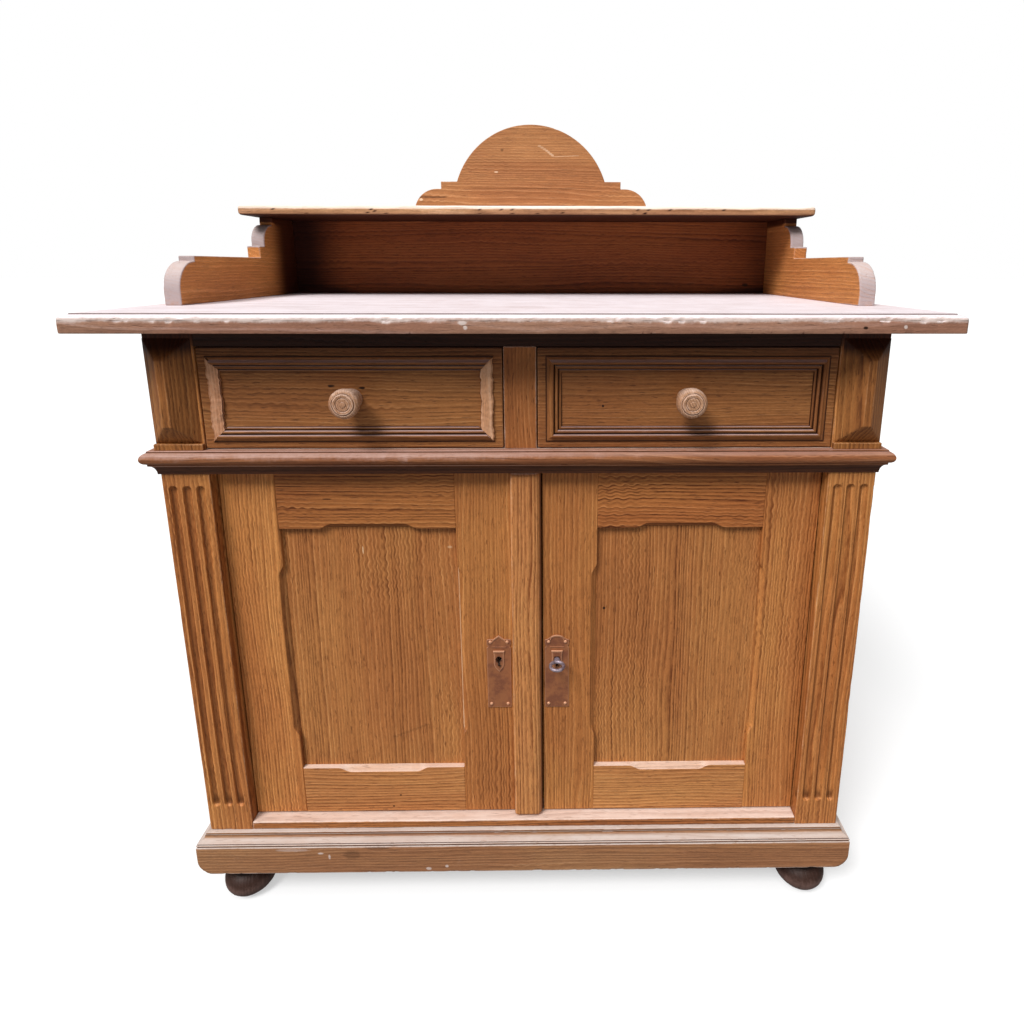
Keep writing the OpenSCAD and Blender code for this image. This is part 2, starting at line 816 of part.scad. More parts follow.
// Tenons of both rails, from the opening into the stile at x
module tenons(x, dir) {
    for (z = [[door_low, open_low], [open_high, door_high]])
        block([x, groove_y, z[0] + tenon_shoulder], [x + dir * tenon_l, groove_y + panel_t, z[1] - tenon_shoulder]);
}

// Stile from the opening's edge at x to the far edge at end
module stile(x, end) {
    dir = end > x ? 1 : -1;
    plate_xz(door_y, door_back) polygon(concat(
        [[end, door_high], [end, door_low], [x, door_low]],
        [for (p = relief_edge(open_high - open_low, relief_d)) [x + dir * p[1], open_low + p[0]]],
        [[x, door_high]]
    ));
}

module hinge_stile(x) {
    s = x[0] > 0 ? 1 : -1;
    place() color(wood) difference() {
        intersection() {
            stile(x[1], x[0]);
            translate([0, 0, door_low]) linear_extrude(door_h) union() {
                translate([s * pivot_x, pivot_y]) circle(r = door_t / 2);
                translate([min(s * pivot_x, s * (pivot_x - stile_w)), door_y]) square([stile_w, door_t]);
            }
        }
        panel_groove(x);
        tenons(x[1], s);
        for (z = [door_low - 1, door_high - pin_in_door])
            translate([s * pivot_x, pivot_y, z]) cylinder(r = pin_r + pin_play, h = pin_in_door + 1);
    }
}

// Centre of a key plate's four nails
function nail_points(x) = [for (dx = [-1, 1], z = [plate_low + 6, plate_low + plate_h - plate_crest])
    [x + dx * (plate_w / 2 - 5), z]];

module meeting_stile(x, plate_x) {
    s = x[0] > 0 ? -1 : 1;
    place() color(wood) difference() {
        stile(x[2], x[3]);
        panel_groove(x);
        tenons(x[2], s);
        key_cut(plate_x);
        for (p = nail_points(plate_x)) translate([p[0], door_y - 1, p[1]]) rotate([-90, 0, 0])
            cylinder(r = nail_shank_r + glue_gap, h = nail_l + 1, $fn = 16);
    }
}

// Keyhole through the wood
module key_cut(x) {
    translate([x, door_y - 1, key_height]) rotate([-90, 0, 0]) cylinder(r = key_hole_r + 0.8, h = door_t + 2);
    block([x - bit_w / 2 - 1, door_y - 1, key_height - bit_reach - 1], [x + bit_w / 2 + 1, door_back + 1, key_height]);
}

module door_rail(x, top) {
    lo = min(x[1], x[2]);
    hi = max(x[1], x[2]);
    edge = relief_edge(hi - lo, relief_d);
    place() color(wood) difference() {
        union() {
            plate_xz(door_y, door_back) polygon(top
                ? concat([[hi, door_high], [lo, door_high]], [for (p = edge) [lo + p[0], open_high + p[1]]])
                : concat([[hi, door_low], [lo, door_low]], [for (p = edge) [lo + p[0], open_low - p[1]]]));
            intersection() {
                union() {
                    tenons(lo, -1);
                    tenons(hi, 1);
                }
                block([-through * 2, 0, top ? open_high : door_low], [through * 2, through, top ? door_high : open_low]);
            }
        }
        panel_groove(x);
    }
}

module door_panel(x) {
    reach = groove_d - panel_play;
    lo = min(x[1], x[2]) - reach;
    hi = max(x[1], x[2]) + reach;
    place() color(wood) block([lo, groove_y, open_low - reach], [hi, groove_y + panel_t, open_high + reach]);
}

module meeting_strip() {
    x0 = meet_x - strip_w;
    y0 = door_y - strip_out;
    r = strip_round;
    place() color(wood) translate([0, 0, door_low]) linear_extrude(door_h) polygon(concat(
        [[x0, door_y]], arc(x0 + r, y0 + r, r, 180, 270, 6), arc(meet_x - r, y0 + r, r, 270, 360, 6),
        [[meet_x, door_y]]
    ));
}

module door_pivots(s) {
    place() color(iron) translate([s * pivot_x, pivot_y, 0]) {
        translate([0, 0, ledge_z - pin_in_rail]) cylinder(r = pin_r, h = pin_in_rail + door_low_gap + pin_in_door - 2);
        translate([0, 0, door_high - pin_in_door + 2])
            cylinder(r = pin_r, h = pin_in_rail + door_top_gap + pin_in_door - 2);
        translate([0, 0, ledge_z + washer_play]) difference() {
            cylinder(r = washer_r, h = door_low_gap - washer_play);
            translate([0, 0, -1]) cylinder(r = pin_r + pin_play, h = door_low_gap + 2);
        }
    }
}

// Key plate with its raised shield and four nails; crest is "pointed" or "round"
module key_plate(x, crest) {
    w = plate_w / 2;
    body = plate_h - plate_crest;
    top = crest == "round"
        ? arc(0, body - 6, 16, 55, 125, 8)
        : [[w - 7, body], [w - 8, body + 4], [0, body + plate_crest], [8 - w, body + 4], [7 - w, body]];
    place() color(plate_metal) {
        difference() {
            union() {
                translate([x, 0, plate_low]) plate_xz(door_y - plate_t, door_y) polygon(concat(
                    [[-w, 0], [w, 0], [w, body - 9], [w - 2, body - 7], [w, body - 4], [w, body + 3], [w - 4, body + 4]],
                    top, [[4 - w, body + 4], [-w, body + 3], [-w, body - 4], [2 - w, body - 7], [-w, body - 9]]
                ));
                translate([x, 0, key_height]) plate_xz(door_y - plate_t - 1, door_y - plate_t + eps) polygon([
                    [0, -19], [7, -9], [7.5, 4], [6, 11], [0, 14], [-6, 11], [-7.5, 4], [-7, -9]
                ]);
            }
            translate([x, door_y - plate_t - 2, key_height]) rotate([-90, 0, 0])
                cylinder(r = key_hole_r, h = plate_t + 4);
            block([x - bit_w / 2 - 0.3, door_y - plate_t - 2, key_height - bit_reach - 1],
                  [x + bit_w / 2 + 0.3, door_y + 1, key_height]);
            for (p = nail_points(x)) translate([p[0], door_y - plate_t - 1, p[1]]) rotate([-90, 0, 0])
                cylinder(r = nail_shank_r + glue_gap, h = plate_t + 2, $fn = 16);
        }
        for (p = nail_points(x)) translate([p[0], door_y - plate_t - glue_gap, p[1]]) rotate([90, 0, 0])
            rotate_extrude($fn = 24) polygon(concat(
                [[0, 0.5 - nail_l - plate_t], [nail_shank_r, 0.5 - nail_l - plate_t], [nail_shank_r, 0]],
                [for (a = [0:22.5:90]) [nail_r * cos(a), 1.4 * sin(a)]]
            ));
    }
}

// Lock, key and bolt

module lock_case() {
    y1 = door_back + lock_d;
    place() color(iron) difference() {
        block([lock_x, door_back, lock_z], [lock_x + lock_w, y1, lock_z + lock_h]);
        block([lock_x + lock_wall, door_back + lock_wall, lock_z + lock_wall],
              [lock_x + lock_w - lock_wall, y1 - lock_wall, lock_z + lock_h - lock_wall]);
        block([lock_x - 1, bolt_y - bolt_play, bolt_z - bolt_play],
              [lock_x + lock_wall + 1, bolt_y + bolt_t + bolt_play, bolt_z + bolt_h + bolt_play]);
        translate([key_x, door_back - 1, key_height]) rotate([-90, 0, 0])
            cylinder(r = key_r + key_play, h = lock_wall + 2);
        block([key_x - bit_w / 2 - 0.3, door_back - 1, key_height - bit_reach - 0.5],
              [key_x + bit_w / 2 + 0.3, door_back + lock_wall + 1, key_height]);
    }
}

module lock_bolt() {
    x0 = lock_x + 0.5;
    place() color(iron) block([x0, bolt_y, bolt_z], [x0 + bolt_l, bolt_y + bolt_t, bolt_z + bolt_h]);
}

module key() {
    bow_y = door_y - plate_t - bow_gap - bow_r - bow_wire_r;
    place() color(iron) translate([key_x, 0, key_height]) union() {
        translate([0, bow_y, 0]) rotate_extrude() translate([bow_r, 0]) circle(r = bow_wire_r, $fn = 24);
        translate([0, bow_y + bow_r, 0]) rotate([-90, 0, 0]) cylinder(r = key_r, h = bit_y + bit_l - bow_y - bow_r);
        translate([0, bow_y + bow_r + bow_wire_r + 0.6, 0]) rotate([-90, 0, 0]) cylinder(r = key_r + 1, h = 1.6);
        block([-bit_w / 2, bit_y, -bit_reach], [bit_w / 2, bit_y + bit_l, 0]);
    }
}

module left_door_bolt() {
    place() color(iron) translate([rod_x, rod_y, 0]) union() {
        translate([0, 0, rod_top - rod_l]) cylinder(r = rod_r, h = rod_l);
        translate([0, 0, handle_z]) rotate([-90, 0, 0]) cylinder(r = 2.5, h = 14);
        translate([0, 14, handle_z]) rotate([-90, 0, 0]) cylinder(r = 4.5, h = 4);
    }
}

module left_door_fittings() {
    slot = bolt_play + 0.4;
    place() color(iron) {
        difference() {
            union() {
                block([rod_x - 12, door_back, staple_low - 5], [rod_x + 12, door_back + 2, staple_high + staple_h + 5]);
                for (z = [staple_low, staple_high])
                    block([rod_x - staple_w / 2, door_back, z], [rod_x + staple_w / 2, rod_y + rod_r + 2, z + staple_h]);
            }
            translate([rod_x, rod_y, staple_low - 10]) cylinder(r = rod_r + rod_play, h = rod_l + 10);
        }
        difference() {
            block([keep_x - keep_w, door_back, bolt_z - 5], [keep_x, bolt_y + bolt_t + 5, bolt_z + bolt_h + 5]);
            block([keep_x - keep_w - 1, door_back - 1, bolt_z - slot],
                  [keep_x + 1, bolt_y + bolt_t + slot, bolt_z + bolt_h + slot]);
        }
    }
}

// Drawers

module drawer_front(s) {
    place() color(wood) side(s) difference() {
        block([drawer_x0, 0, drawer_low], [drawer_x1, drawer_front_t, drawer_high]);
        block([box_x0 + drawer_side_t - drawer_groove, drawer_front_t - drawer_groove, drawer_floor_z],
              [box_x1 - drawer_side_t + drawer_groove, drawer_front_t + 1, drawer_floor_z + drawer_low_t]);
        translate([drawer_mid_x, -1, drawer_mid_z]) rotate([-90, 0, 0])
            cylinder(r = knob_dowel_r + glue_gap, h = drawer_front_t + 2);
    }
}

// Section of the moulding on a drawer front: inwards from its outer edge, and outwards from the front
module frame_section() {
    polygon(concat(
        [[0, 0], [0, 1.2]],
        [for (a = [0:18:90]) [0.6 + (frame_w * 0.32) * sin(a), 1.2 + (frame_out - 1.2) * (1 - cos(a))]],
        [[frame_w * 0.56, frame_out]],
        arc(frame_w * 0.56, frame_out - 1.4, 1.4, 90, 0, 4),
        [[frame_w * 0.66, frame_out * 0.5], [frame_w * 0.9, frame_out * 0.22], [frame_w, frame_out * 0.18],
         [frame_w, 0]]
    ));
}

module drawer_moulding(s) {
    x0 = drawer_x0 + frame_in;
    x1 = drawer_x1 - frame_in;
    z0 = drawer_low + frame_in - 2;
    z1 = drawer_high - frame_in;
    w = frame_w;
    g = mitre_gap;
    place() color(wood) side(s) {
        for (up = [0, 1]) intersection() {
            translate([x0, 0, up == 1 ? z1 : z0]) rotate([90, 0, 90]) linear_extrude(x1 - x0)
                mirror([up, 0]) rotate(up == 1 ? -90 : 90) frame_section();
            plate_xz(-frame_out - 1, 1) polygon(up == 1
                ? [[x0, z1], [x1, z1], [x1 - w, z1 - w], [x0 + w, z1 - w]]
                : [[x0, z0], [x1, z0], [x1 - w, z0 + w], [x0 + w, z0 + w]]);
        }
        for (right = [0, 1]) intersection() {
            translate([right == 1 ? x1 : x0, 0, z0]) linear_extrude(z1 - z0)
                mirror([right, 0]) mirror([0, 1]) frame_section();
            plate_xz(-frame_out - 1, 1) polygon(right == 1
                ? [[x1, z0 + g], [x1, z1 - g], [x1 - w, z1 - w - g], [x1 - w, z0 + w + g]]
                : [[x0, z0 + g], [x0, z1 - g], [x0 + w, z1 - w - g], [x0 + w, z0 + w + g]]);
        }
    }
}

module drawer_box(s) {
    y0 = drawer_front_t;
    y1 = y0 + drawer_box_l;
    z1 = box_z + drawer_side_h;
    floor_top = drawer_floor_z + drawer_low_t;
    place() color(wood_inner) side(s) {
        difference() {
            union() {
                block([box_x0, y0, box_z], [box_x0 + drawer_side_t, y1, z1]);
                block([box_x1 - drawer_side_t, y0, box_z], [box_x1, y1, z1]);
            }
            block([box_x0 + drawer_side_t - drawer_groove, y0 - 1, drawer_floor_z],
                  [box_x1 - drawer_side_t + drawer_groove, y1 + 1, floor_top]);
        }
        block([box_x0 + drawer_side_t + glue_gap, y1 - drawer_side_t, floor_top],
              [box_x1 - drawer_side_t - glue_gap, y1, z1]);
    }
}

module drawer_bottom(s) {
    place() color(wood_inner) side(s)
        block([box_x0 + drawer_side_t - drawer_groove, drawer_front_t - drawer_groove, drawer_floor_z],
              [box_x1 - drawer_side_t + drawer_groove, drawer_front_t + drawer_box_l, drawer_floor_z + drawer_low_t]);
}

// Turned knob, drawn as radius and distance from the drawer front
module knob(s) {
    place() color(wood_pale) side(s) translate([drawer_mid_x, 0, drawer_mid_z]) rotate([90, 0, 0])
        rotate_extrude() polygon(concat(
            [[0, -drawer_front_t], [knob_dowel_r, -drawer_front_t], [knob_dowel_r, 0], [knob_base_r, 0]],
            [for (t = [0:0.125:1]) let (u = (1 - cos(180 * t)) / 2)
                [knob_base_r - 2 * sin(180 * t) + (knob_r - knob_base_r) * u * t, 2 + t * (knob_l - 14)]],
            arc(knob_r - 5, knob_l - 6, 5, -20, 80, 8),
            [[knob_r * 0.72, knob_l - 1.6], [knob_r * 0.66, knob_l], [knob_r * 0.6, knob_l - 0.6],
             [knob_r * 0.24, knob_l - 0.9], [knob_r * 0.2, knob_l - 1.4], [0, knob_l - 1.4]]
        ));
}

foot(-1, 0);  // foot_front_left
foot(1, 0);  // foot_front_right
foot(-1, 1);  // foot_back_left
foot(1, 1);  // foot_back_right
foot_blocks();
plinth_front();
plinth_returns();
plinth_back();
side_board(-1);  // side_left
side_board(1);  // side_right
floor_board();
back_boards();
bottom_rail();
waist_rail();
top_rail();
drawer_divider();
post(-1);  // post_left
post(1);  // post_right
diamond_block(-1);  // diamond_block_left
diamond_block(1);  // diamond_block_right
waist_moulding();
drawer_runners();
inner_shelf();
shelf_battens();
worktop();
gallery_side(-1);  // gallery_side_left
gallery_side(1);  // gallery_side_right
gallery_back();
gallery_shelf();
crest();
hinge_stile(left_x);  // left_door_hinge_stile
meeting_stile(left_x, left_plate_x);  // left_door_meeting_stile
door_rail(left_x, true);  // left_door_top_rail
door_rail(left_x, false);  // left_door_bottom_rail
door_panel(left_x);  // left_door_panel
meeting_strip();
key_plate(left_plate_x, "pointed");  // left_key_plate
left_door_bolt();
left_door_fittings();
door_pivots(-1);  // left_door_pivots
hinge_stile(right_x);  // right_door_hinge_stile
meeting_stile(right_x, right_plate_x);  // right_door_meeting_stile
door_rail(right_x, true);  // right_door_top_rail
door_rail(right_x, false);  // right_door_bottom_rail
door_panel(right_x);  // right_door_panel
key_plate(right_plate_x, "round");  // right_key_plate
lock_case();
lock_bolt();
key();
door_pivots(1);  // right_door_pivots
drawer_front(-1);  // left_drawer_front
drawer_moulding(-1);  // left_drawer_moulding
drawer_box(-1);  // left_drawer_box
drawer_bottom(-1);  // left_drawer_bottom
knob(-1);  // left_drawer_knob
drawer_front(1);  // right_drawer_front
drawer_moulding(1);  // right_drawer_moulding
drawer_box(1);  // right_drawer_box
drawer_bottom(1);  // right_drawer_bottom
knob(1);  // right_drawer_knob
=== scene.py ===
"""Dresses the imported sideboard: worn and brushed softwood boards, turned knobs and feet, patinated key plates.

Lengths in the classes are in millimetres, measured like the part's source: y = 0 is the front face of the corner
posts. The function metres() moves them to the sideboard's own frame, in metres.
"""
import itertools
import logging
import math
from dataclasses import dataclass, field, replace
from enum import Enum
from typing import Callable, Sequence

import bmesh
import bpy
import numpy as np
from mathutils import Matrix, Vector
from mathutils.geometry import delaunay_2d_cdt


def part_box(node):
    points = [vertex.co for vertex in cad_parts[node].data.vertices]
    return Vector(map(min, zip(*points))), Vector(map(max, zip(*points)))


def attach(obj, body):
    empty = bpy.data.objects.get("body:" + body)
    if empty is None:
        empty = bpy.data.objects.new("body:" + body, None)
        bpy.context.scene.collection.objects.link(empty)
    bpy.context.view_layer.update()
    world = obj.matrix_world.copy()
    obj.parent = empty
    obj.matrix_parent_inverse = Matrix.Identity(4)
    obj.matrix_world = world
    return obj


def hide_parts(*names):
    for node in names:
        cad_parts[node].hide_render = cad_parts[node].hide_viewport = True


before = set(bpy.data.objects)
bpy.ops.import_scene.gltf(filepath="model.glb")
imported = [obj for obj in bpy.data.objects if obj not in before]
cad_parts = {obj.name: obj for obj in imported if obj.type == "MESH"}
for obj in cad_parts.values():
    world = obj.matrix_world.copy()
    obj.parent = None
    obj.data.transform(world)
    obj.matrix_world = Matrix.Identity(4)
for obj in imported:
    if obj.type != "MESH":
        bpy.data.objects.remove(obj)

log = logging.getLogger("sideboard")
Array = np.ndarray
Shape = Callable[[Array], Array]
Outline = Sequence[Sequence[float]]
Line = list[tuple[float, float]]
Colour = tuple[float, float, float, float]
MM = 0.001
FRONT_Y = -220.5
"""Where the posts' front faces lie in the sideboard's frame, in millimetres."""
LATTICE_PRIMES = (73856093, 19349663, 83492791, 26544357)
SCRAMBLERS = ((13, 1274126177), (15, 668265263))
"""The numbers of the hash that gives each corner of a noise lattice its value."""
KEY_X = {"left": -34.0, "right": 45.5}
KEY_HEIGHT = 379.0
"""Where the keyholes lie in the doors, in millimetres from the sideboard's middle and from the floor."""
CHIP_SEED = 3
BEND_SEED = 20
"""What a piece's seed is raised by for its chips and for the bend of its faces."""
PALE_LINE = (1.3, 1.5, 1.8, 1.0)
"""How much lighter than the wood the pale line beside each year ring is, for red, green and blue."""
TINTS = ((255, 244, 236), (254, 254, 246))
"""Screen colours that a board's darker and lighter zones are multiplied by."""
KEYHOLE_SHADE = (30, 16, 10)
SPOT = (46, 24, 12)
SHADE_GRIME_TINT = (84, 50, 30)
# Screen colours of painted shade in keyholes, of knots and nail holes, and of dirt and painted shade in hollows.
"""Screen colours of a plate's hollows, of knots and nail holes, and of the dirt that darkens sheltered wood."""


def metres(points: Array) -> Array:
    """Turns points in millimetres from the post faces into the sideboard's frame, in metres."""
    return (np.asarray(points, float) + [0.0, FRONT_Y, 0.0]) * MM


def node_box(node: str) -> tuple[Array, Array]:
    """Lowest and highest corner of a CAD node in millimetres from the post faces."""
    low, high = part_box(node)
    shift = np.array([0.0, FRONT_Y, 0.0])
    return np.array(low) / MM - shift, np.array(high) / MM - shift


def smooth_noise(points: Array, cell: float, seed: int) -> Array:
    """Noise from -1 to 1 at each point.

    A random value at each corner of a lattice is blended with the ease 3t^2 - 2t^3 along each direction.

    Args:
        points: places, with their three coordinates last.
        cell: size of the lattice, in the unit of the points.
        seed: another number gives other noise.

    Returns:
        one value for each point.
    """
    q = np.asarray(points, float) / cell
    base = np.floor(q).astype(np.int64)
    t = q - base
    t = t * t * (3 - 2 * t)
    total = np.zeros(q.shape[:-1])
    for corner in itertools.product((0, 1), repeat=3):
        n = base + np.array(corner)
        h = seed * LATTICE_PRIMES[3]
        for k in range(3):
            h = h ^ (n[..., k] * LATTICE_PRIMES[k])
        for shift, factor in SCRAMBLERS:
            h = ((h ^ (h >> shift)) * factor) & 0x7FFFFFFF
        weight = np.prod(np.where(corner, t, 1 - t), axis=-1)
        total += weight * ((h & 0xFFFF) / 32767.5 - 1)
    return total


def chipped(points: Array, seed: int, cell: float = 9.0, rarity: float = 0.45) -> Array:
    """Share from 0 to 1 by which an edge is chipped: noise above a threshold, with a slow noise that gathers it."""
    fine = smooth_noise(points, cell, seed) + 0.35 * smooth_noise(points, cell * 0.35, seed + 5)
    slow = smooth_noise(points, cell * 9, seed + 11)
    return np.clip((fine + 0.5 * slow - rarity) / (1.2 - rarity), 0, 1)


def unit(vectors: Array) -> Array:
    """Each vector divided by its length."""
    return vectors / np.maximum(np.linalg.norm(vectors, axis=-1, keepdims=True), 1e-9)


def linked(name: str, data: bpy.types.ID) -> bpy.types.Object:
    """A new object in the scene that shows the data."""
    thing = bpy.data.objects.new(name, data)
    bpy.context.scene.collection.objects.link(thing)
    return thing


def worn_radius(points: Array, radius: float | Array, chip: float, seed: int) -> Array:
    """An edge's radius at each point: changed a little by slow noise, and larger by up to the chip's depth at chips."""
    return radius * (1 + 0.35 * smooth_noise(points, 40, seed)) + chip * chipped(points, seed + CHIP_SEED)


class Grain(Enum):
    """Direction of the wood: which coordinates run along the grain, across it and through the board."""

    UP = (2, 0, 1)
    ACROSS = (0, 2, 1)
    FLAT = (0, 1, 2)
    DEEP = (1, 2, 0)
    UP_SIDE = (2, 1, 0)
    TURNED = (1, 0, 2)


@dataclass
class Skin:
    """Collects the surfaces of one piece, with how worn each point is and how much dirt and painted shade darken it,
    and makes its mesh.
    """

    name: str
    grain: Grain
    seed: int
    tone: float = 0.0
    points: list[Array] = field(default_factory=list)
    worn: list[Array] = field(default_factory=list)
    shade_and_dirt: list[Array] = field(default_factory=list)
    faces: list[list[int]] = field(default_factory=list)
    count: int = 0

    def places(self) -> Array:
        """Every point so far, as rows."""
        return np.concatenate(self.points)

    def add_points(self, points: Array, worn: Array | float, shade_and_dirt: Array | float) -> int:
        """Adds flat lists of points and returns the number of the first one."""
        points = np.asarray(points, float).reshape(-1, 3)
        n = len(points)
        self.points.append(points)
        self.worn.append(np.broadcast_to(np.asarray(worn, float).ravel(), (n,)))
        self.shade_and_dirt.append(np.broadcast_to(np.asarray(shade_and_dirt, float).ravel(), (n,)))
        first = self.count
        self.count += n
        return first

    def grid(self, points: Array, worn: Array | float = 0.0, shade_and_dirt: Array | float = 0.0, wrap: bool = False) -> None:
        """Adds a surface given as rows and columns of points.

        Args:
            points: array of rows, columns and three coordinates, in millimetres.
            worn: how worn each point is, from 0 to 1.
            shade_and_dirt: how much dirt and painted shade darken each point, from 0 to 1.
            wrap: whether the last column joins the first one.
        """
        rows, cols = points.shape[:2]
        first = self.add_points(points, worn, shade_and_dirt)
        number = first + np.arange(rows * cols).reshape(rows, cols)
        if wrap:
            number = np.concatenate([number, number[:, :1]], axis=1)
        quads = np.stack([number[:-1, :-1], number[:-1, 1:], number[1:, 1:], number[1:, :-1]], axis=-1)
        self.faces.extend(quads.reshape(-1, 4).tolist())

    def cap(self, loop: Array, worn: Array | float = 0.0, shade_and_dirt: Array | float = 0.0) -> None:
        """Closes a flat loop of points with one face."""
        first = self.add_points(loop, worn, shade_and_dirt)
        self.faces.append(list(range(first, first + len(loop))))

    def build(self, material: bpy.types.Material, body: str, slot: str, nodes: Sequence[str],
              crease: float = 34.0) -> bpy.types.Object:
        """Makes the object, with its grain, its wear and its dirt and painted shade as attributes, and hands it to its
        body.

        Args:
            material: what the piece is made of.
            body: the moving body that it rides on.
            slot: the record's material slot; not used.
            nodes: the CAD nodes that it stands for.
            crease: faces that meet at a larger angle in degrees keep a sharp edge.

        Returns:
            the finished object.
        """
        local = self.places()
        pick = np.random.default_rng(self.seed).uniform(-1, 1, 3) * [3.0, 1.7, 0.9]
        grain = local[:, self.grain.value] * MM + pick
        mesh = bpy.data.meshes.new(self.name)
        mesh.from_pydata(metres(local).tolist(), [], self.faces)
        for name, kind, values in (("grain", "FLOAT_VECTOR", grain), ("worn", "FLOAT", np.concatenate(self.worn)),
                                   ("shade_and_dirt", "FLOAT", np.concatenate(self.shade_and_dirt)),
                                   ("tone", "FLOAT", np.full(len(local), self.tone))):
            layer = mesh.attributes.new(name, kind, "POINT")
            layer.data.foreach_set("vector" if kind == "FLOAT_VECTOR" else "value",
                                   np.ascontiguousarray(values, np.float32).ravel())
        work = bmesh.new()
        work.from_mesh(mesh)
        bmesh.ops.remove_doubles(work, verts=work.verts, dist=2e-6)
        bmesh.ops.recalc_face_normals(work, faces=work.faces)
        work.to_mesh(mesh)
        work.free()
        mesh.polygons.foreach_set("use_smooth", np.ones(len(mesh.polygons), bool))
        mesh.set_sharp_from_angle(angle=math.radians(crease))
        mesh.materials.append(material)
        mesh.update()
        thing = linked(self.name, mesh)
        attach(thing, body)
        if nodes:
            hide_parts(*nodes)
        log.info("%s: %d faces on %s", self.name, len(mesh.polygons), body)
        return thing


# Shapes of boards, plates, mouldings and turned pieces


def stations(start: float, end: float, near: float, step: float) -> Array:
    """Places along an edge: close together within a few radii of both ends, and evenly spaced between them."""
    near = min(near, (end - start) / 7)
    ends = near * np.array([0, 0.12, 0.3, 0.55, 0.8, 1.0, 1.7, 2.9])
    inner = np.linspace(start + ends[-1], end - ends[-1], max(2, math.ceil((end - start - 2 * ends[-1]) / step) + 1))
    return np.unique(np.round(np.concatenate([start + ends, inner, end - ends]), 5))


def add_board(skin: Skin, low: Array, high: Array, radius: float = 1.2, step: float = 12.0, chip: float = 1.5,
              extra: dict[int, Array] | None = None, shape: Shape | None = None,
              waver: float = 0.15) -> None:
    """Adds a board with worn edges.

    Each point p of a box is pulled to q + r (p - q) / |p - q|, where q is p held inside the box made smaller by r. The
    radius r changes along the edges with noise, and is larger at chips.

    Args:
        skin: the piece that the board belongs to.
        low: lowest corner in millimetres.
        high: highest corner.
        radius: middle radius of the edges.
        step: distance between the grid lines.
        chip: how much larger the radius is at a chip.
        extra: more grid lines for a coordinate, by its number.
        shape: a last change of the points.
        waver: how far the faces are from flat.
    """
    low, high = np.asarray(low, float), np.asarray(high, float)
    axes = [stations(low[k], high[k], radius * 1.3, step) for k in range(3)]
    for k, more in (extra or {}).items():
        axes[k] = np.unique(np.round(np.concatenate([axes[k], more[(more > low[k]) & (more < high[k])]]), 5))
    for k in range(3):
        i, j = [a for a in range(3) if a != k]
        for end in (low[k], high[k]):
            p = np.empty((len(axes[i]), len(axes[j]), 3))
            p[..., i], p[..., j] = np.meshgrid(axes[i], axes[j], indexing="ij")
            p[..., k] = end
            r = np.minimum(worn_radius(p, radius, chip, skin.seed), 0.49 * (high - low).min())[..., None]
            q = np.clip(p, low + r, high - r)
            away = p - q
            gap = np.sort(np.minimum(p - low, high - p), axis=-1)[..., 1]
            worn = np.exp(-gap / (1.2 * radius + 1.0))
            p = q + unit(away) * r
            if waver:
                bend = np.stack([smooth_noise(p, 130, skin.seed + BEND_SEED + c) for c in range(3)], axis=-1)
                inside = np.clip(np.minimum(p - low, high - p).max(-1, keepdims=True) / 30, 0, 1)
                p = p - np.sign(away) * np.abs(bend) * waver * inside
            if shape:
                p = shape(p)
            skin.grid(p, worn)


def filleted(points: Outline, radius: float, closed: bool = True) -> tuple[Array, Array, Array]:
    """Rounds the corners of an outline.

    A corner that turns by more than 25 degrees becomes an arc of three points, and a point a little further on each
    side keeps the wear close to it.

    Args:
        points: the outline's corners, anticlockwise.
        radius: radius of the arcs, made smaller on short sides.
        closed: whether the last point joins the first one.

    Returns:
        the new points, how worn each is (outer corners) and how much dirt and painted shade darken each (inner
        corners).
    """
    p = np.asarray(points, float)
    n = len(p)
    out, worn, shade_and_dirt = [], [], []
    for i in range(n):
        if not closed and i in (0, n - 1):
            out.append(p[i])
            worn.append(0.0)
            shade_and_dirt.append(0.0)
            continue
        a, b, c = p[i - 1], p[i], p[(i + 1) % n]
        u, v = a - b, c - b
        lu, lv = np.linalg.norm(u), np.linalg.norm(v)
        u, v = u / lu, v / lv
        turn = math.degrees(math.atan2(-u[0] * v[1] + u[1] * v[0], -(u @ v)))
        edge = min(1.0, abs(turn) / 70)
        if abs(turn) < 25:
            out.append(b)
            worn.append(edge if turn > 0 else 0.0)
            shade_and_dirt.append(edge if turn < 0 else 0.0)
            continue
        cut = min(radius * math.tan(math.radians(abs(turn) / 2)), 0.32 * lu, 0.32 * lv)
        far = [min(cut * 2 + 0.8, 0.46 * lu), min(cut * 2 + 0.8, 0.46 * lv)]
        middle = b + (u + v) * cut * 0.29 if abs(turn) < 120 else b + (u + v) * cut * 0.35
        for q, k in ((b + u * far[0], 0.0), (b + u * cut, 0.8), (middle, 1.0), (b + v * cut, 0.8),
                     (b + v * far[1], 0.0)):
            out.append(q)
            worn.append(edge * k if turn > 0 else 0.0)
            shade_and_dirt.append(edge * k if turn < 0 else 0.0)
    return np.array(out), np.array(worn), np.array(shade_and_dirt)


def resampled(loop: Array, step: float) -> Array:
    """Puts more rows on the long sides of a closed outline, whose two coordinates come first in each row."""
    out = []
    for a, b in zip(loop, np.roll(loop, -1, axis=0)):
        count = max(1, math.ceil(np.linalg.norm((b - a)[:2]) / step))
        out.append(a + (b - a) * np.linspace(0, 1, count, endpoint=False)[:, None])
    return np.concatenate(out)


def turns_clockwise(loop: Array) -> bool:
    """Whether a closed outline runs clockwise, by the sign of its area."""
    return (loop[:, 0] * np.roll(loop[:, 1], -1) - loop[:, 1] * np.roll(loop[:, 0], -1)).sum() < 0


def outline_distance(points: Array, loop: Array) -> Array:
    """Distance of each point from a closed outline: the least distance from any of its sides."""
    side = np.roll(loop, -1, axis=0) - loop
    length = np.maximum((side ** 2).sum(1), 1e-12)
    away = points[:, None] - loop[None]
    t = np.clip((away * side[None]).sum(-1) / length[None], 0, 1)
    return np.linalg.norm(away - side[None] * t[..., None], axis=-1).min(1)


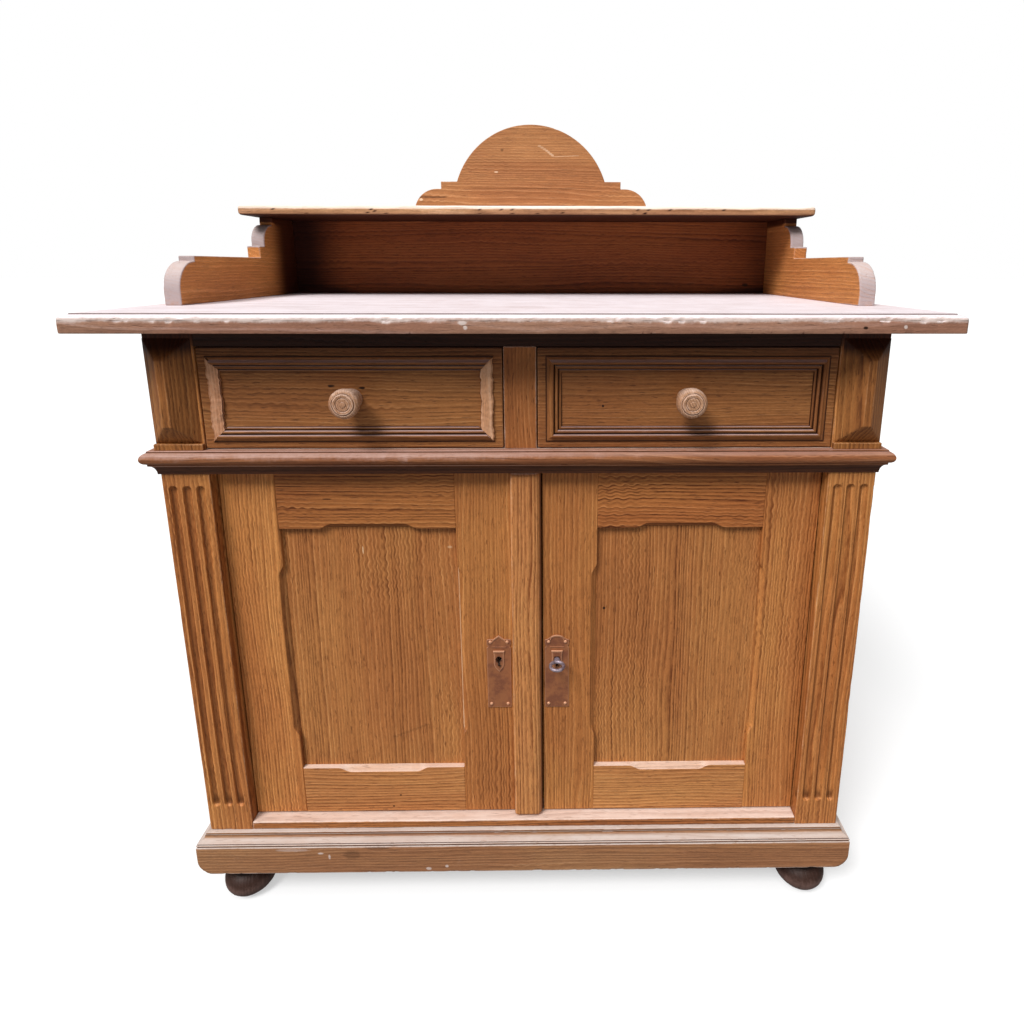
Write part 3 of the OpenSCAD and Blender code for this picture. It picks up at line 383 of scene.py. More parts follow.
def inside_outline(points: Array, loop: Array) -> Array:
    """Whether each point lies inside a closed outline, by counting the sides to its right."""
    a, b = loop[None], np.roll(loop, -1, axis=0)[None]
    x, y = points[:, None, 0], points[:, None, 1]
    spans = (a[..., 1] > y) != (b[..., 1] > y)
    rise = np.where(b[..., 1] == a[..., 1], 1e-12, b[..., 1] - a[..., 1])
    return ((spans & (x < (b[..., 0] - a[..., 0]) * (y - a[..., 1]) / rise + a[..., 0])).sum(1) % 2) == 1


def add_plate(skin: Skin, outline: Outline, start: float, end: float, axis: int,
              radius: float | Shape = 1.2, corner: float = 0.8, step: float = 5.0,
              chip: float = 1.5, hole: Outline | None = None, wear: float = 1.0,
              rows: Sequence[float] = (0.0, 0.12, 0.5, 0.88, 1.0)) -> None:
    """Adds a flat board cut to an outline, with worn edges and, if one is given, a hole.

    Each face is a net of triangles over points on the outline, on rings inside it and on a grid. A point at distance d
    from the outline lies lower than the face by r - sqrt(r^2 - (r - d)^2) while d is less than r, which rounds the
    edge. The radius r changes along the edge with noise, and is larger at chips.

    Args:
        skin: the piece that it belongs to.
        outline: corners in the two coordinates other than axis.
        start: lower coordinate along axis, in millimetres.
        end: upper coordinate along axis.
        axis: the coordinate that runs through the thickness.
        radius: the edges' radius, or a function that gives it at points of the plane.
        corner: radius of the outline's own corners.
        step: longest distance between points.
        chip: how much larger the radius is at a chip.
        hole: corners of a hole.
        wear: how worn the edges are.
        rows: shares of the thickness at which the edge has points.
    """
    loop = resampled(filleted(outline, corner)[0], step)
    if turns_clockwise(loop):
        loop = loop[::-1].copy()
    side = np.roll(loop, -1, axis=0) - np.roll(loop, 1, axis=0)
    inwards = unit(np.stack([-side[:, 1], side[:, 0]], axis=1))
    largest = float(np.max(radius(loop))) if callable(radius) else float(radius)
    insets = (0.15 * largest, 0.45 * largest, 0.95 * largest, largest + chip * 0.6, largest + chip + 1.2,
              largest + chip + 4.0)
    rings = np.concatenate([inwards * d + loop for d in insets])
    clear = outline_distance(rings, loop) > 0.93 * np.repeat(insets, len(loop))
    rings = rings[clear & inside_outline(rings, loop)]
    grid = np.stack(np.meshgrid(*[np.arange(a, b, step * 2.0) for a, b in zip(loop.min(0), loop.max(0))]), -1)
    grid = grid.reshape(-1, 2)
    grid = grid[(outline_distance(grid, loop) > largest + chip + 6.0) & inside_outline(grid, loop)]
    inner = np.concatenate([rings, grid])
    cut = np.empty((0, 2)) if hole is None else resampled(np.array(hole, float), 1.5)
    if len(cut):
        inner = inner[~inside_outline(inner, cut)]
    flat = np.concatenate([loop, cut, inner])
    sides = [(k, (k + 1) % len(loop)) for k in range(len(loop))]
    sides += [(len(loop) + k, len(loop) + (k + 1) % len(cut)) for k in range(len(cut))]
    result = delaunay_2d_cdt([Vector(q) for q in flat.tolist()], sides, [], 0, 1e-6, False)
    flat = np.array([[q[0], q[1]] for q in result[0]])
    faces = np.array([list(f) for f in result[2]])
    middle = flat[faces].mean(1)
    kept = inside_outline(middle, loop)
    if len(cut):
        kept &= ~inside_outline(middle, cut)
    faces = faces[kept].tolist()
    gap = outline_distance(flat, loop)
    gap[gap < 1e-4] = 0.0
    base = radius(flat) if callable(radius) else np.full(len(flat), float(radius))
    i, j = [a for a in range(3) if a != axis]

    def place(plane: Array, depth: Array | float) -> Array:
        """Points of the plane at a coordinate along the thickness."""
        p = np.empty((len(plane), 3))
        p[:, i], p[:, j], p[:, axis] = plane[:, 0], plane[:, 1], depth
        return p

    def rounding(plane: Array, face: float, own: Array) -> Array:
        """The edge's radius at points near a face."""
        return np.minimum(worn_radius(place(plane, face), own, chip, skin.seed), 0.45 * (end - start))

    wall = []
    rim = radius(loop) if callable(radius) else np.full(len(loop), float(radius))
    for face, sign in ((start, 1.0), (end, -1.0)):
        r = rounding(flat, face, base)
        short = np.clip(r - gap, 0, None)
        depth = r - np.sqrt(np.maximum(r ** 2 - short ** 2, 0))
        first = skin.add_points(place(flat, face + sign * depth), wear * np.exp(-gap / (0.9 * base + 1.0)), 0.0)
        skin.faces.extend([first + k for k in f] for f in faces)
        wall.append(place(loop, face + sign * rounding(loop, face, rim)))
    t = np.array(rows)[:, None, None]
    skin.grid(wall[0][None] * (1 - t) + wall[1][None] * t,
              wear * 0.8 * np.repeat(np.clip(1 - np.minimum(t, 1 - t)[..., 0] * 8, 0, 1), len(loop), 1), 0.0, wrap=True)
    if len(cut):
        # The hole's walls get painted shade.
        skin.grid(np.stack([place(cut, start), place(cut, end)]), 0.0, 1.0, wrap=True)


def add_moulding(skin: Skin, profile: Outline, origin: Sequence[float], along: Sequence[float],
                 out: Sequence[float], up: Sequence[float], length: float, mitre: tuple[float, float] = (0.0, 0.0),
                 fillet: float = 0.7, step: float = 6.0, chip: float = 0.8,
                 looks: Callable[[Array], tuple[Array, Array]] | None = None,
                 shape: Shape | None = None) -> None:
    """Adds a length of moulding: a profile carried along a straight line.

    A point at distance s is origin + along (s + m o) + out o + up h, where o and h are the profile's two coordinates
    and m changes from the first mitre to the second one along the length, so that the ends are cut at their angles.

    Args:
        skin: the piece that it belongs to.
        profile: outwards distance and height of the section's corners.
        origin: start of the line, in millimetres.
        along: unit direction of the line.
        out: unit direction outwards.
        up: unit direction of the profile's height.
        length: length of the line.
        mitre: how far each end moves along the line for each millimetre outwards.
        fillet: radius of the section's corners.
        step: distance between sections.
        chip: depth of the chips on the outer corners.
        looks: gives more wear, and more dirt and painted shade, at places of the section.
        shape: a last change of the points.
    """
    rows = resampled(np.column_stack(filleted(profile, fillet)), 4.0)
    loop, worn, shade_and_dirt = rows[:, :2], rows[:, 2], rows[:, 3]
    side = np.roll(loop, -1, axis=0) - np.roll(loop, 1, axis=0)
    normal = unit(np.stack([side[:, 1], -side[:, 0]], axis=1))
    if turns_clockwise(loop):
        normal = -normal
    along, out, up, origin = (np.asarray(a, float) for a in (along, out, up, origin))
    t = np.unique(np.round(np.concatenate([np.linspace(0, 1, max(2, math.ceil(length / step) + 1)),
                                           [1.5 / length, 1 - 1.5 / length]]), 6))
    start, stop = mitre[0] * loop[:, 0], length + mitre[1] * loop[:, 0]
    s = start[None] + (stop - start)[None] * t[:, None]
    p = origin + along * s[..., None] + out * loop[None, :, 0, None] + up * loop[None, :, 1, None]
    dent = chip * chipped(p, skin.seed + CHIP_SEED, 7.0, 0.4) * worn[None] + 0.12 * worn[None]
    move = out * normal[None, :, 0, None] + up * normal[None, :, 1, None]
    p = p - move * dent[..., None]
    if shape:
        p = shape(p)
    if looks:
        more, extra_shade_and_dirt = looks(loop)
        shade_and_dirt = np.clip(np.maximum(shade_and_dirt, extra_shade_and_dirt), 0, 1)
        worn = (worn + more) * (1 - shade_and_dirt)
    worn = np.clip(worn[None] + dent / max(chip, 0.1), 0, 1)
    shade_and_dirt = np.broadcast_to(shade_and_dirt, p.shape[:2])
    skin.grid(p, worn, shade_and_dirt, wrap=True)
    skin.cap(p[0], worn[0], shade_and_dirt[0])
    skin.cap(p[-1], worn[-1], shade_and_dirt[-1])


def add_turned(skin: Skin, profile: Outline, centre: Sequence[float], axis: Sequence[float],
               fillet: float = 0.5, around: int = 72, dent: float = 0.25) -> None:
    """Adds a turned piece: at angle a, a profile point (r, h) goes to centre + axis h + r (cos a, sin a) across it.

    Args:
        skin: the piece that it belongs to.
        profile: radius and height along the axis, from one pole to the other.
        centre: where height is zero.
        axis: unit direction of the height.
        fillet: radius of the profile's corners.
        around: number of points round the axis.
        dent: depth of the dents.
    """
    line, worn, shade_and_dirt = filleted(profile, fillet, closed=False)
    axis = np.asarray(axis, float)
    first = np.cross(axis, [0.0, 0.0, 1.0]) if abs(axis[2]) < 0.9 else np.array([1.0, 0.0, 0.0])
    first /= np.linalg.norm(first)
    second = np.cross(axis, first)
    angle = np.linspace(0, 2 * np.pi, around, endpoint=False)
    ring = first * np.cos(angle)[:, None] + second * np.sin(angle)[:, None]
    p = np.asarray(centre, float) + axis * line[:, None, 1, None] + ring[None] * line[:, None, 0, None]
    radial = np.where(line[:, 0] > 0.01, 1.0, 0.0)[:, None]
    wear = smooth_noise(p, 9, skin.seed) * 0.5 + smooth_noise(p, 3.5, skin.seed + 1) * 0.25
    bite = chipped(p, skin.seed + CHIP_SEED, 6.0, 0.35) * (0.4 + worn[:, None])
    p = p - ring[None] * (dent * (np.clip(wear, -0.4, 1) + 2.2 * bite) * radial)[..., None]
    skin.grid(p, np.clip(worn[:, None] + bite, 0, 1), np.repeat(shade_and_dirt[:, None], around, axis=1), wrap=True)


# Finishes


def srgb(red: float, green: float, blue: float) -> Colour:
    """A colour written from 0 to 255 as a screen shows it, in linear values."""
    channel = [c / 255 for c in (red, green, blue)]
    return (*[c / 12.92 if c <= 0.04045 else ((c + 0.055) / 1.055) ** 2.4 for c in channel], 1.0)


@dataclass(frozen=True)
class Mark:
    """A spot on the wood, such as a knot or a nail hole: where it is, how large, and how strong from -1 (pale) to 1."""

    place: tuple[float, float, float]
    size: tuple[float, float, float]
    strength: float = 1.0


def scratch(start: Sequence[float], end: Sequence[float], width: float, strength: float,
            count: int) -> tuple[Mark, ...]:
    """A row of small spots from one place to another."""
    a, b = np.array(start), np.array(end)
    length = np.linalg.norm(b - a) / count
    size = np.maximum(np.abs(b - a) / count * 0.9, width)
    size = (float(size[0]), 3.0, float(min(size[2], max(width, length))))
    return tuple(Mark(tuple(a + (b - a) * (k + 0.5) / count), size, strength) for k in range(count))


@dataclass(frozen=True)
class WoodFinish:
    """Colours and figure of one kind of board."""

    name: str
    light: Colour
    dark: Colour
    bare: Colour
    # Colour of up-facing faces: sun bleaching and a painted sheen of the sky.
    sky: Colour = (0.76, 0.61, 0.53, 1.0)
    pitch: float = 6.0
    ripple: float = 1.0
    contrast: float = 0.75
    wear: float = 0.5
    # How strongly up-facing faces take that colour: sun bleaching and a painted sky sheen.
    bleach: float = 0.75
    roughness: float = 0.56
    relief: float = 0.35
    # How strongly dirt and painted shade darken sheltered points.
    shade_grime_strength: float = 0.8
    marks: tuple[Mark, ...] = ()


class Nodes:
    """Short ways to place and join shader nodes in one tree."""

    def __init__(self, tree: bpy.types.NodeTree) -> None:
        """Keeps the tree."""
        self.tree = tree
        self.count = 0

    def add(self, kind: str, **values) -> bpy.types.Node:
        """Places a node and sets its properties."""
        node = self.tree.nodes.new(kind)
        node.location = (-220 * (self.count % 12), -200 * (self.count // 12))
        self.count += 1
        for key, value in values.items():
            setattr(node, key, value)
        return node

    def put(self, socket: bpy.types.NodeSocket, value) -> None:
        """Links a socket to another one, or gives it a constant."""
        if isinstance(value, bpy.types.NodeSocket):
            self.tree.links.new(value, socket)
        else:
            socket.default_value = value

    def math(self, how: str, a, b=0.0, c=0.0, clamp: bool = False) -> bpy.types.NodeSocket:
        """The result of a Math node."""
        node = self.add("ShaderNodeMath", operation=how, use_clamp=clamp)
        for socket, value in zip(node.inputs, (a, b, c)):
            self.put(socket, value)
        return node.outputs[0]

    def times(self, a, b, clamp: bool = False) -> bpy.types.NodeSocket:
        """Two values multiplied."""
        return self.math("MULTIPLY", a, b, clamp=clamp)

    def plus(self, a, b) -> bpy.types.NodeSocket:
        """Two values added."""
        return self.math("ADD", a, b)

    def scaled(self, value, factor, more) -> bpy.types.NodeSocket:
        """A value multiplied by a factor, with more added to it."""
        return self.math("MULTIPLY_ADD", value, factor, more)

    def step(self, value, low: float, high: float) -> bpy.types.NodeSocket:
        """An eased step: 0 below low, 1 above high."""
        node = self.add("ShaderNodeMapRange", interpolation_type="SMOOTHSTEP")
        self.put(node.inputs["Value"], value)
        self.put(node.inputs["From Min"], low)
        self.put(node.inputs["From Max"], high)
        return node.outputs[0]

    def noise(self, vector, scale: float, detail: float = 2.0, rough: float = 0.5) -> bpy.types.NodeSocket:
        """Noise from 0 to 1 at a vector."""
        node = self.add("ShaderNodeTexNoise")
        self.put(node.inputs["Vector"], vector)
        self.put(node.inputs["Scale"], scale)
        self.put(node.inputs["Detail"], detail)
        self.put(node.inputs["Roughness"], rough)
        return node.outputs["Fac"]

    def stretch(self, vector, factors: tuple[float, float, float]) -> bpy.types.NodeSocket:
        """A vector with each coordinate multiplied."""
        node = self.add("ShaderNodeVectorMath", operation="MULTIPLY")
        self.put(node.inputs[0], vector)
        node.inputs[1].default_value = factors
        return node.outputs[0]

    def drawn(self, vector, factors: tuple[float, float, float], detail: float, rough: float = 0.5
              ) -> bpy.types.NodeSocket:
        """Noise from 0 to 1 at a vector whose coordinates are multiplied first, which draws it out."""
        return self.noise(self.stretch(vector, factors), 1.0, detail, rough)

    def mix(self, share, a, b, how: str = "MIX") -> bpy.types.NodeSocket:
        """A mix of two colours."""
        node = self.add("ShaderNodeMix", data_type="RGBA", blend_type=how)
        self.put(node.inputs["Factor"], share)
        self.put(node.inputs["A"], a)
        self.put(node.inputs["B"], b)
        return node.outputs["Result"]

    def attribute(self, name: str) -> bpy.types.Node:
        """A named attribute of the mesh."""
        return self.add("ShaderNodeAttribute", attribute_name=name)

    def group(self, tree: bpy.types.NodeTree, **values) -> bpy.types.Node:
        """Places a node group with its values; a space in a socket's name is written as an underscore."""
        node = self.add("ShaderNodeGroup")
        node.node_tree = tree
        for key, value in values.items():
            self.put(node.inputs[key.replace("_", " ")], value)
        return node


def new_group(name: str, inputs: dict[str, tuple[str, object]], outputs: dict[str, str]) -> tuple[Nodes, dict, dict]:
    """Makes an empty node group.

    Args:
        name: what the group is called.
        inputs: type and default value of each input.
        outputs: type of each output.

    Returns:
        its nodes, its input sockets by name and its output sockets by name.
    """
    tree = bpy.data.node_groups.new(name, "ShaderNodeTree")
    for key, (kind, value) in inputs.items():
        socket = tree.interface.new_socket(key, in_out="INPUT", socket_type="NodeSocket" + kind)
        if value is not None:
            socket.default_value = value
    for key, kind in outputs.items():
        tree.interface.new_socket(key, in_out="OUTPUT", socket_type="NodeSocket" + kind)
    n = Nodes(tree)
    source, sink = n.add("NodeGroupInput"), n.add("NodeGroupOutput")
    return n, {k: source.outputs[k] for k in inputs}, {k: sink.inputs[k] for k in outputs}


def brushed_grain_group() -> bpy.types.NodeTree:
    """Year rings of brushed softwood, seen on a board.

    The grain vector's first coordinate runs along the board and the second one across. The ring number is the distance
    across divided by the pitch, bent by slow noise and by a ripple, which is a sine along the board whose strength
    comes and goes. Each ring darkens towards its end and stops at once, by its own random strength. The dark lines are
    broken by noise drawn out along the board, and fade in plainer zones.
    """
    n, i, o = new_group("brushed grain", {
        "Grain": ("Vector", None), "Pitch": ("Float", 6.0), "Ripple": ("Float", 1.0)},
        {"Line": "Float", "Pale": "Float", "Fibre": "Float", "Tone": "Float", "Height": "Float"})
    split = n.add("ShaderNodeSeparateXYZ")
    n.put(split.inputs[0], i["Grain"])
    u, v, w = split.outputs
    slow = n.drawn(i["Grain"], (1.6, 6.0, 6.0), 2.0)
    curl = n.drawn(i["Grain"], (7.0, 12.0, 9.0), 2.0)
    curly = n.step(n.drawn(i["Grain"], (5.0, 9.0, 5.0), 1.0), 0.48, 0.68)
    phase = n.plus(n.times(u, 400.0), n.times(curl, 26.0))
    height = n.times(curly, n.times(i["Ripple"], 0.0007))
    ripple = n.times(n.math("SINE", phase), height)
    bent = n.plus(v, n.times(slow, 0.035))
    bent = n.plus(bent, n.times(curl, 0.006))
    bent = n.plus(n.plus(bent, ripple), n.times(w, 0.35))
    uneven = n.times(n.drawn(i["Grain"], (0.6, 36.0, 20.0), 1.0), 4.2)
    ring = n.plus(n.math("DIVIDE", bent, n.times(i["Pitch"], 0.001)), uneven)
    part = n.math("FRACT", ring)
    line = n.times(n.step(part, 0.22, 0.86), n.math("SUBTRACT", 1.0, n.step(part, 0.88, 1.0)))
    own = n.add("ShaderNodeTexWhiteNoise", noise_dimensions="1D")
    n.put(own.inputs["W"], n.math("FLOOR", ring))
    line = n.times(line, n.scaled(own.outputs["Value"], 0.8, 0.35))
    zone = n.step(n.drawn(i["Grain"], (1.3, 13.0, 9.0), 1.0), 0.32, 0.6)
    line = n.times(line, n.scaled(zone, 0.6, 0.4))
    broken = n.step(n.drawn(i["Grain"], (48.0, 330.0, 200.0), 2.0, 0.6), 0.36, 0.62)
    line = n.times(line, n.scaled(broken, 0.6, 0.4))
    fibre = n.drawn(i["Grain"], (38.0, 620.0, 500.0), 2.0, 0.65)
    pore = n.step(n.drawn(i["Grain"], (75.0, 640.0, 500.0), 1.0), 0.62, 0.74)
    line = n.math("MAXIMUM", line, n.times(pore, 0.8))
    n.put(o["Line"], line)
    pale = n.times(n.step(part, 0.0, 0.05), n.math("SUBTRACT", 1.0, n.step(part, 0.12, 0.36)))
    pale = n.times(pale, n.scaled(own.outputs["Value"], -1.0, 1.1))
    n.put(o["Pale"], n.times(pale, n.scaled(broken, 0.6, 0.4)))
    speck = n.drawn(i["Grain"], (260.0, 900.0, 700.0), 1.0)
    fibre = n.scaled(speck, 0.35, n.times(fibre, 0.65))
    n.put(o["Fibre"], fibre)
    n.put(o["Tone"], n.drawn(i["Grain"], (3.0, 11.0, 8.0), 3.0, 0.55))
    n.put(o["Height"], n.math("SUBTRACT", n.times(fibre, 0.35), line))
    return n.tree


def edge_wear_group() -> bpy.types.NodeTree:
    """Where the finish is worn off: the mesh's own wear plus broken noise, cut at a threshold."""
    n, i, o = new_group("edge wear", {
        "Place": ("Vector", None), "Worn": ("Float", 0.0), "Amount": ("Float", 0.5)}, {"Mask": "Float"})
    coarse = n.noise(i["Place"], 38.0, 3.0, 0.6)
    fine = n.noise(i["Place"], 260.0, 3.0, 0.65)
    rough = n.plus(n.times(coarse, 0.65), n.times(fine, 0.45))
    level = n.plus(n.times(i["Worn"], i["Amount"]), n.times(rough, 0.55))
    n.put(o["Mask"], n.times(n.step(level, 0.5, 0.86), n.step(i["Worn"], 0.02, 0.25)))
    return n.tree


def spots_group() -> bpy.types.NodeTree:
    """One soft-edged spot: 1 at its centre, 0 from one size away."""
    n, i, o = new_group("spot", {
        "Place": ("Vector", None), "Centre": ("Vector", None), "Size": ("Vector", None)}, {"Mask": "Float"})
    away = n.add("ShaderNodeVectorMath", operation="SUBTRACT")
    n.put(away.inputs[0], i["Place"])
    n.put(away.inputs[1], i["Centre"])
    share = n.add("ShaderNodeVectorMath", operation="DIVIDE")
    n.put(share.inputs[0], away.outputs[0])
    n.put(share.inputs[1], i["Size"])
    length = n.add("ShaderNodeVectorMath", operation="LENGTH")
    n.put(length.inputs[0], share.outputs[0])
    rough = n.times(n.noise(i["Place"], 300.0, 2.0), 0.5)
    n.put(o["Mask"], n.math("SUBTRACT", 1.0, n.step(n.plus(length.outputs["Value"], rough), 0.75, 1.25)))
    return n.tree


class Palette:
    """Makes each finish once, from the shared node groups."""

    def __init__(self) -> None:
        """Builds the groups."""
        self.grain = brushed_grain_group()
        self.wear = edge_wear_group()
        self.spot = spots_group()
        self.made: dict[str, bpy.types.Material] = {}

    def wood(self, f: WoodFinish, plain: Grain | None = None) -> bpy.types.Material:
        """The material of a wood finish.

        Args:
            f: the finish.
            plain: for a CAD node, which has no attributes, the direction of its grain.

        Returns:
            the material.
        """
        name = f.name + ("" if plain is None else " " + plain.name.lower())
        if name in self.made:
            return self.made[name]
        n, shader, place = self._start(name)
        if plain is None:
            grain = n.attribute("grain").outputs["Vector"]
            worn, shade_and_dirt = n.attribute("worn").outputs["Fac"], n.attribute("shade_and_dirt").outputs["Fac"]
            tone = n.attribute("tone").outputs["Fac"]
        else:
            split = n.add("ShaderNodeSeparateXYZ")
            n.put(split.inputs[0], place)
            join = n.add("ShaderNodeCombineXYZ")
            for socket, k in zip(join.inputs, plain.value):
                n.put(socket, split.outputs[k])
            grain, worn, shade_and_dirt, tone = join.outputs[0], None, None, None
        rings = n.group(self.grain, Grain=grain, Pitch=f.pitch, Ripple=f.ripple)
        line, fibre, shade = rings.outputs["Line"], rings.outputs["Fibre"], rings.outputs["Tone"]
        deep = n.times(line, f.contrast, clamp=True)
        color = n.mix(deep, f.light, f.dark)
        soft = n.scaled(n.step(fibre, 0.3, 0.7), 0.36, 0.81)
        lines = tuple(min(c * k, 1.0) for c, k in zip(f.light, PALE_LINE))
        color = n.mix(n.times(rings.outputs["Pale"], 0.95), color, lines)
        soft = n.times(soft, n.scaled(shade, 0.7, 0.65))
        hue = n.mix(n.step(shade, 0.36, 0.62), *[srgb(*tint) for tint in TINTS])
        color = n.mix(1.0, color, hue, "MULTIPLY")
        if tone is not None:
            soft = n.times(soft, n.plus(tone, 1.0))
        color = n.mix(1.0, color, self._grey(n, soft), "MULTIPLY")
        bare = n.mix(n.times(line, 0.35), f.bare, f.light)
        if worn is not None:
            bald = n.group(self.wear, Place=place, Worn=worn, Amount=f.wear).outputs["Mask"]
            color = n.mix(bald, color, bare)
        # Up-facing faces turn paler: sun bleaching and a painted sheen of the sky.
        if f.bleach > 0:
            normal = n.add("ShaderNodeNewGeometry").outputs["True Normal"]
            up = n.add("ShaderNodeSeparateXYZ")
            n.put(up.inputs[0], normal)
            sky = n.times(n.step(up.outputs[2], 0.3, 0.85), f.bleach)
            streaks = n.drawn(grain, (7.0, 90.0, 60.0), 3.0, 0.6)
            cloudy = n.scaled(n.noise(place, 24.0, 4.0, 0.6), 0.5, n.times(streaks, 0.7))
            patchy = n.times(sky, n.plus(cloudy, 0.34), clamp=True)
            color = n.mix(patchy, color, n.mix(n.times(line, 0.3), f.sky, f.light))
        # Dirt and painted shade darken sheltered points.
        if shade_and_dirt is not None:
            shade_and_grime = n.times(n.step(shade_and_dirt, 0.1, 0.9), f.shade_grime_strength)
            color = n.mix(shade_and_grime, color, n.mix(1.0, color, srgb(*SHADE_GRIME_TINT), "MULTIPLY"))
        for mark in f.marks:
            mask = n.group(self.spot, Place=place, Centre=tuple(metres(mark.place)),
                           Size=tuple(s * MM for s in mark.size)).outputs["Mask"]
            mask = n.times(mask, abs(mark.strength))
            color = n.mix(mask, color, srgb(*SPOT) if mark.strength > 0 else f.bare)
        n.put(shader.inputs["Base Color"], color)
        n.put(shader.inputs["Roughness"], n.scaled(fibre, 0.14, f.roughness - 0.07))
        shader.inputs["Specular IOR Level"].default_value = 0.25
        self._bump(n, shader, rings.outputs["Height"], 1.0, f.relief)
        return self.made[name]

    def _start(self, name: str) -> tuple[Nodes, bpy.types.Node, bpy.types.NodeSocket]:
        """Makes a material and gives its nodes, its shader and the place of each point."""
        material = self.made[name] = bpy.data.materials.new(name)
        material.use_nodes = True
        n = Nodes(material.node_tree)
        return n, material.node_tree.nodes["Principled BSDF"], n.add("ShaderNodeTexCoord").outputs["Object"]

    @staticmethod
    def _bump(n: Nodes, shader: bpy.types.Node, height: bpy.types.NodeSocket, strength: float, relief: float) -> None:
        """Lets a height, in parts of the relief in millimetres, tilt the shader's normal."""
        bump = n.add("ShaderNodeBump")
        bump.inputs["Strength"].default_value = strength
        bump.inputs["Distance"].default_value = relief * MM
        n.put(bump.inputs["Height"], height)
        n.put(shader.inputs["Normal"], bump.outputs[0])

    @staticmethod
    def _grey(n: Nodes, value: bpy.types.NodeSocket) -> bpy.types.NodeSocket:
        """A value as a grey colour."""
        node = n.add("ShaderNodeCombineColor")
        for socket in node.inputs:
            n.put(socket, value)
        return node.outputs[0]

    def metal(self, name: str, base: Colour, spotted: Colour, metallic: float, rough: float, scale: float,
              rubbed: Colour | None = None) -> bpy.types.Material:
        """A patinated metal: two colours mixed by noise, with fine pits.

        Args:
            name: what it is called.
            base: main colour.
            spotted: colour of the patches.
            metallic: how metallic it is.
            rough: its roughness.
            scale: how fine the patches are.
            rubbed: colour where the mesh is worn.

        Returns:
            the material.
        """
        if name in self.made:
            return self.made[name]
        n, shader, place = self._start(name)
        patches = n.step(n.noise(place, scale, 4.0, 0.65), 0.42, 0.66)
        pits = n.noise(place, scale * 7, 3.0, 0.6)
        color = n.mix(patches, base, spotted)
        if rubbed:
            worn, shade_and_dirt = n.attribute("worn").outputs["Fac"], n.attribute("shade_and_dirt").outputs["Fac"]
            color = n.mix(n.times(n.step(worn, 0.2, 1.2), 0.8), color, rubbed)
            # Painted shade on the keyhole's walls.
            color = n.mix(shade_and_dirt, color, srgb(*KEYHOLE_SHADE))
        n.put(shader.inputs["Base Color"], color)
        n.put(shader.inputs["Roughness"], n.scaled(pits, 0.25, rough - 0.12))
        shader.inputs["Metallic"].default_value = metallic
        self._bump(n, shader, pits, 0.6, 0.25)
        return self.made[name]


HONEY = WoodFinish("honey wood", srgb(192, 126, 70), srgb(110, 56, 22), srgb(222, 180, 144), pitch=5.2, wear=0.34,
                   ripple=0.95, contrast=0.8,
                   marks=(Mark((-180.2, 15, 157.1), (1.8, 3, 1.8)), Mark((-191.4, 15, 138.2), (1.8, 3, 1.8)),
                          Mark((-252.0, 15, 612.0), (7, 3, 1.2), 0.8)))
POST = replace(HONEY, name="post wood", bleach=0.0, shade_grime_strength=0.97, marks=())
# Darker than the honey wood, partly as painted shade under the waist moulding; it dresses the doors' top rails.
WAVY = replace(HONEY, name="wavy wood", light=srgb(182, 114, 62), dark=srgb(100, 50, 20), ripple=2.2, contrast=0.95)
STRIP = replace(HONEY, name="strip wood", light=srgb(190, 130, 78), ripple=0.25)
PANEL = WoodFinish("panel wood", srgb(182, 119, 67), srgb(104, 54, 23), srgb(232, 192, 150), pitch=5.0, ripple=1.3,
                   contrast=0.85, bleach=0.6, wear=0.3,
                   marks=(Mark((-212.3, 22, 537.3), (1.0, 3, 7.0), -1.0), Mark((-97.0, 22, 541.0), (4.0, 3, 2.4), -0.5),
                          Mark((109.7, 22, 450.1), (2.4, 3, 2.6), 1.0),
                          *scratch((-187, 22, 248.5), (-136, 22, 269.5), 0.9, 0.22, 9)))
RED = WoodFinish("reddish wood", srgb(165, 103, 57), srgb(78, 38, 16), srgb(222, 188, 168), pitch=5.0, ripple=0.7,
                 contrast=0.85, bleach=0.85, wear=0.45,
                 marks=(Mark((101.9, 0, 738.4), (2.0, 3, 2.2)), Mark((-229.5, 0, 763.8), (5, 3, 2)),
                        Mark((-192.1, 0, 761.3), (5, 3, 2))))
MOULD = replace(RED, name="moulding wood", light=srgb(156, 99, 64), dark=srgb(84, 44, 26), sky=srgb(178, 144, 132),
                bare=srgb(192, 152, 138), bleach=0.5, wear=0.6, contrast=0.6, marks=())
FRONT = replace(RED, name="drawer wood", light=srgb(158, 102, 58), dark=srgb(76, 40, 18), bare=srgb(172, 124, 90),
                sky=srgb(176, 140, 128), bleach=0.7, contrast=0.85, wear=0.4)
BEADS = replace(FRONT, name="drawer moulding wood", bare=srgb(190, 152, 140), sky=srgb(206, 178, 176), bleach=0.95,
                wear=0.6, shade_grime_strength=0.95, contrast=0.5, marks=())
PLINTH = replace(RED, name="plinth wood", light=srgb(164, 116, 80), dark=srgb(112, 74, 50), bare=srgb(206, 184, 174),
                 sky=srgb(200, 186, 178), bleach=0.9, wear=0.5, contrast=0.6,
                 marks=(Mark((-246.0, -15, 87.0), (15, 4, 10), 0.35), Mark((-290.0, -15, 90.0), (5, 4, 2), -1.0),
                        Mark((-278.0, -15, 84.0), (2, 4, 5), -1.0), Mark((-138.0, -15, 62.0), (5, 4, 3), -1.0),
                        Mark((-112.0, -15, 66.0), (3, 4, 3), -1.0), Mark((-330.0, -15, 96.0), (30, 4, 3), -0.5),
                        Mark((-210.0, -15, 98.0), (24, 4, 3), 0.4)))
BLOCK = WoodFinish("corner block wood", srgb(158, 101, 53), srgb(78, 38, 16), srgb(206, 154, 110), pitch=5.2, wear=0.42,
                   contrast=0.85, bleach=0.0, shade_grime_strength=0.97)
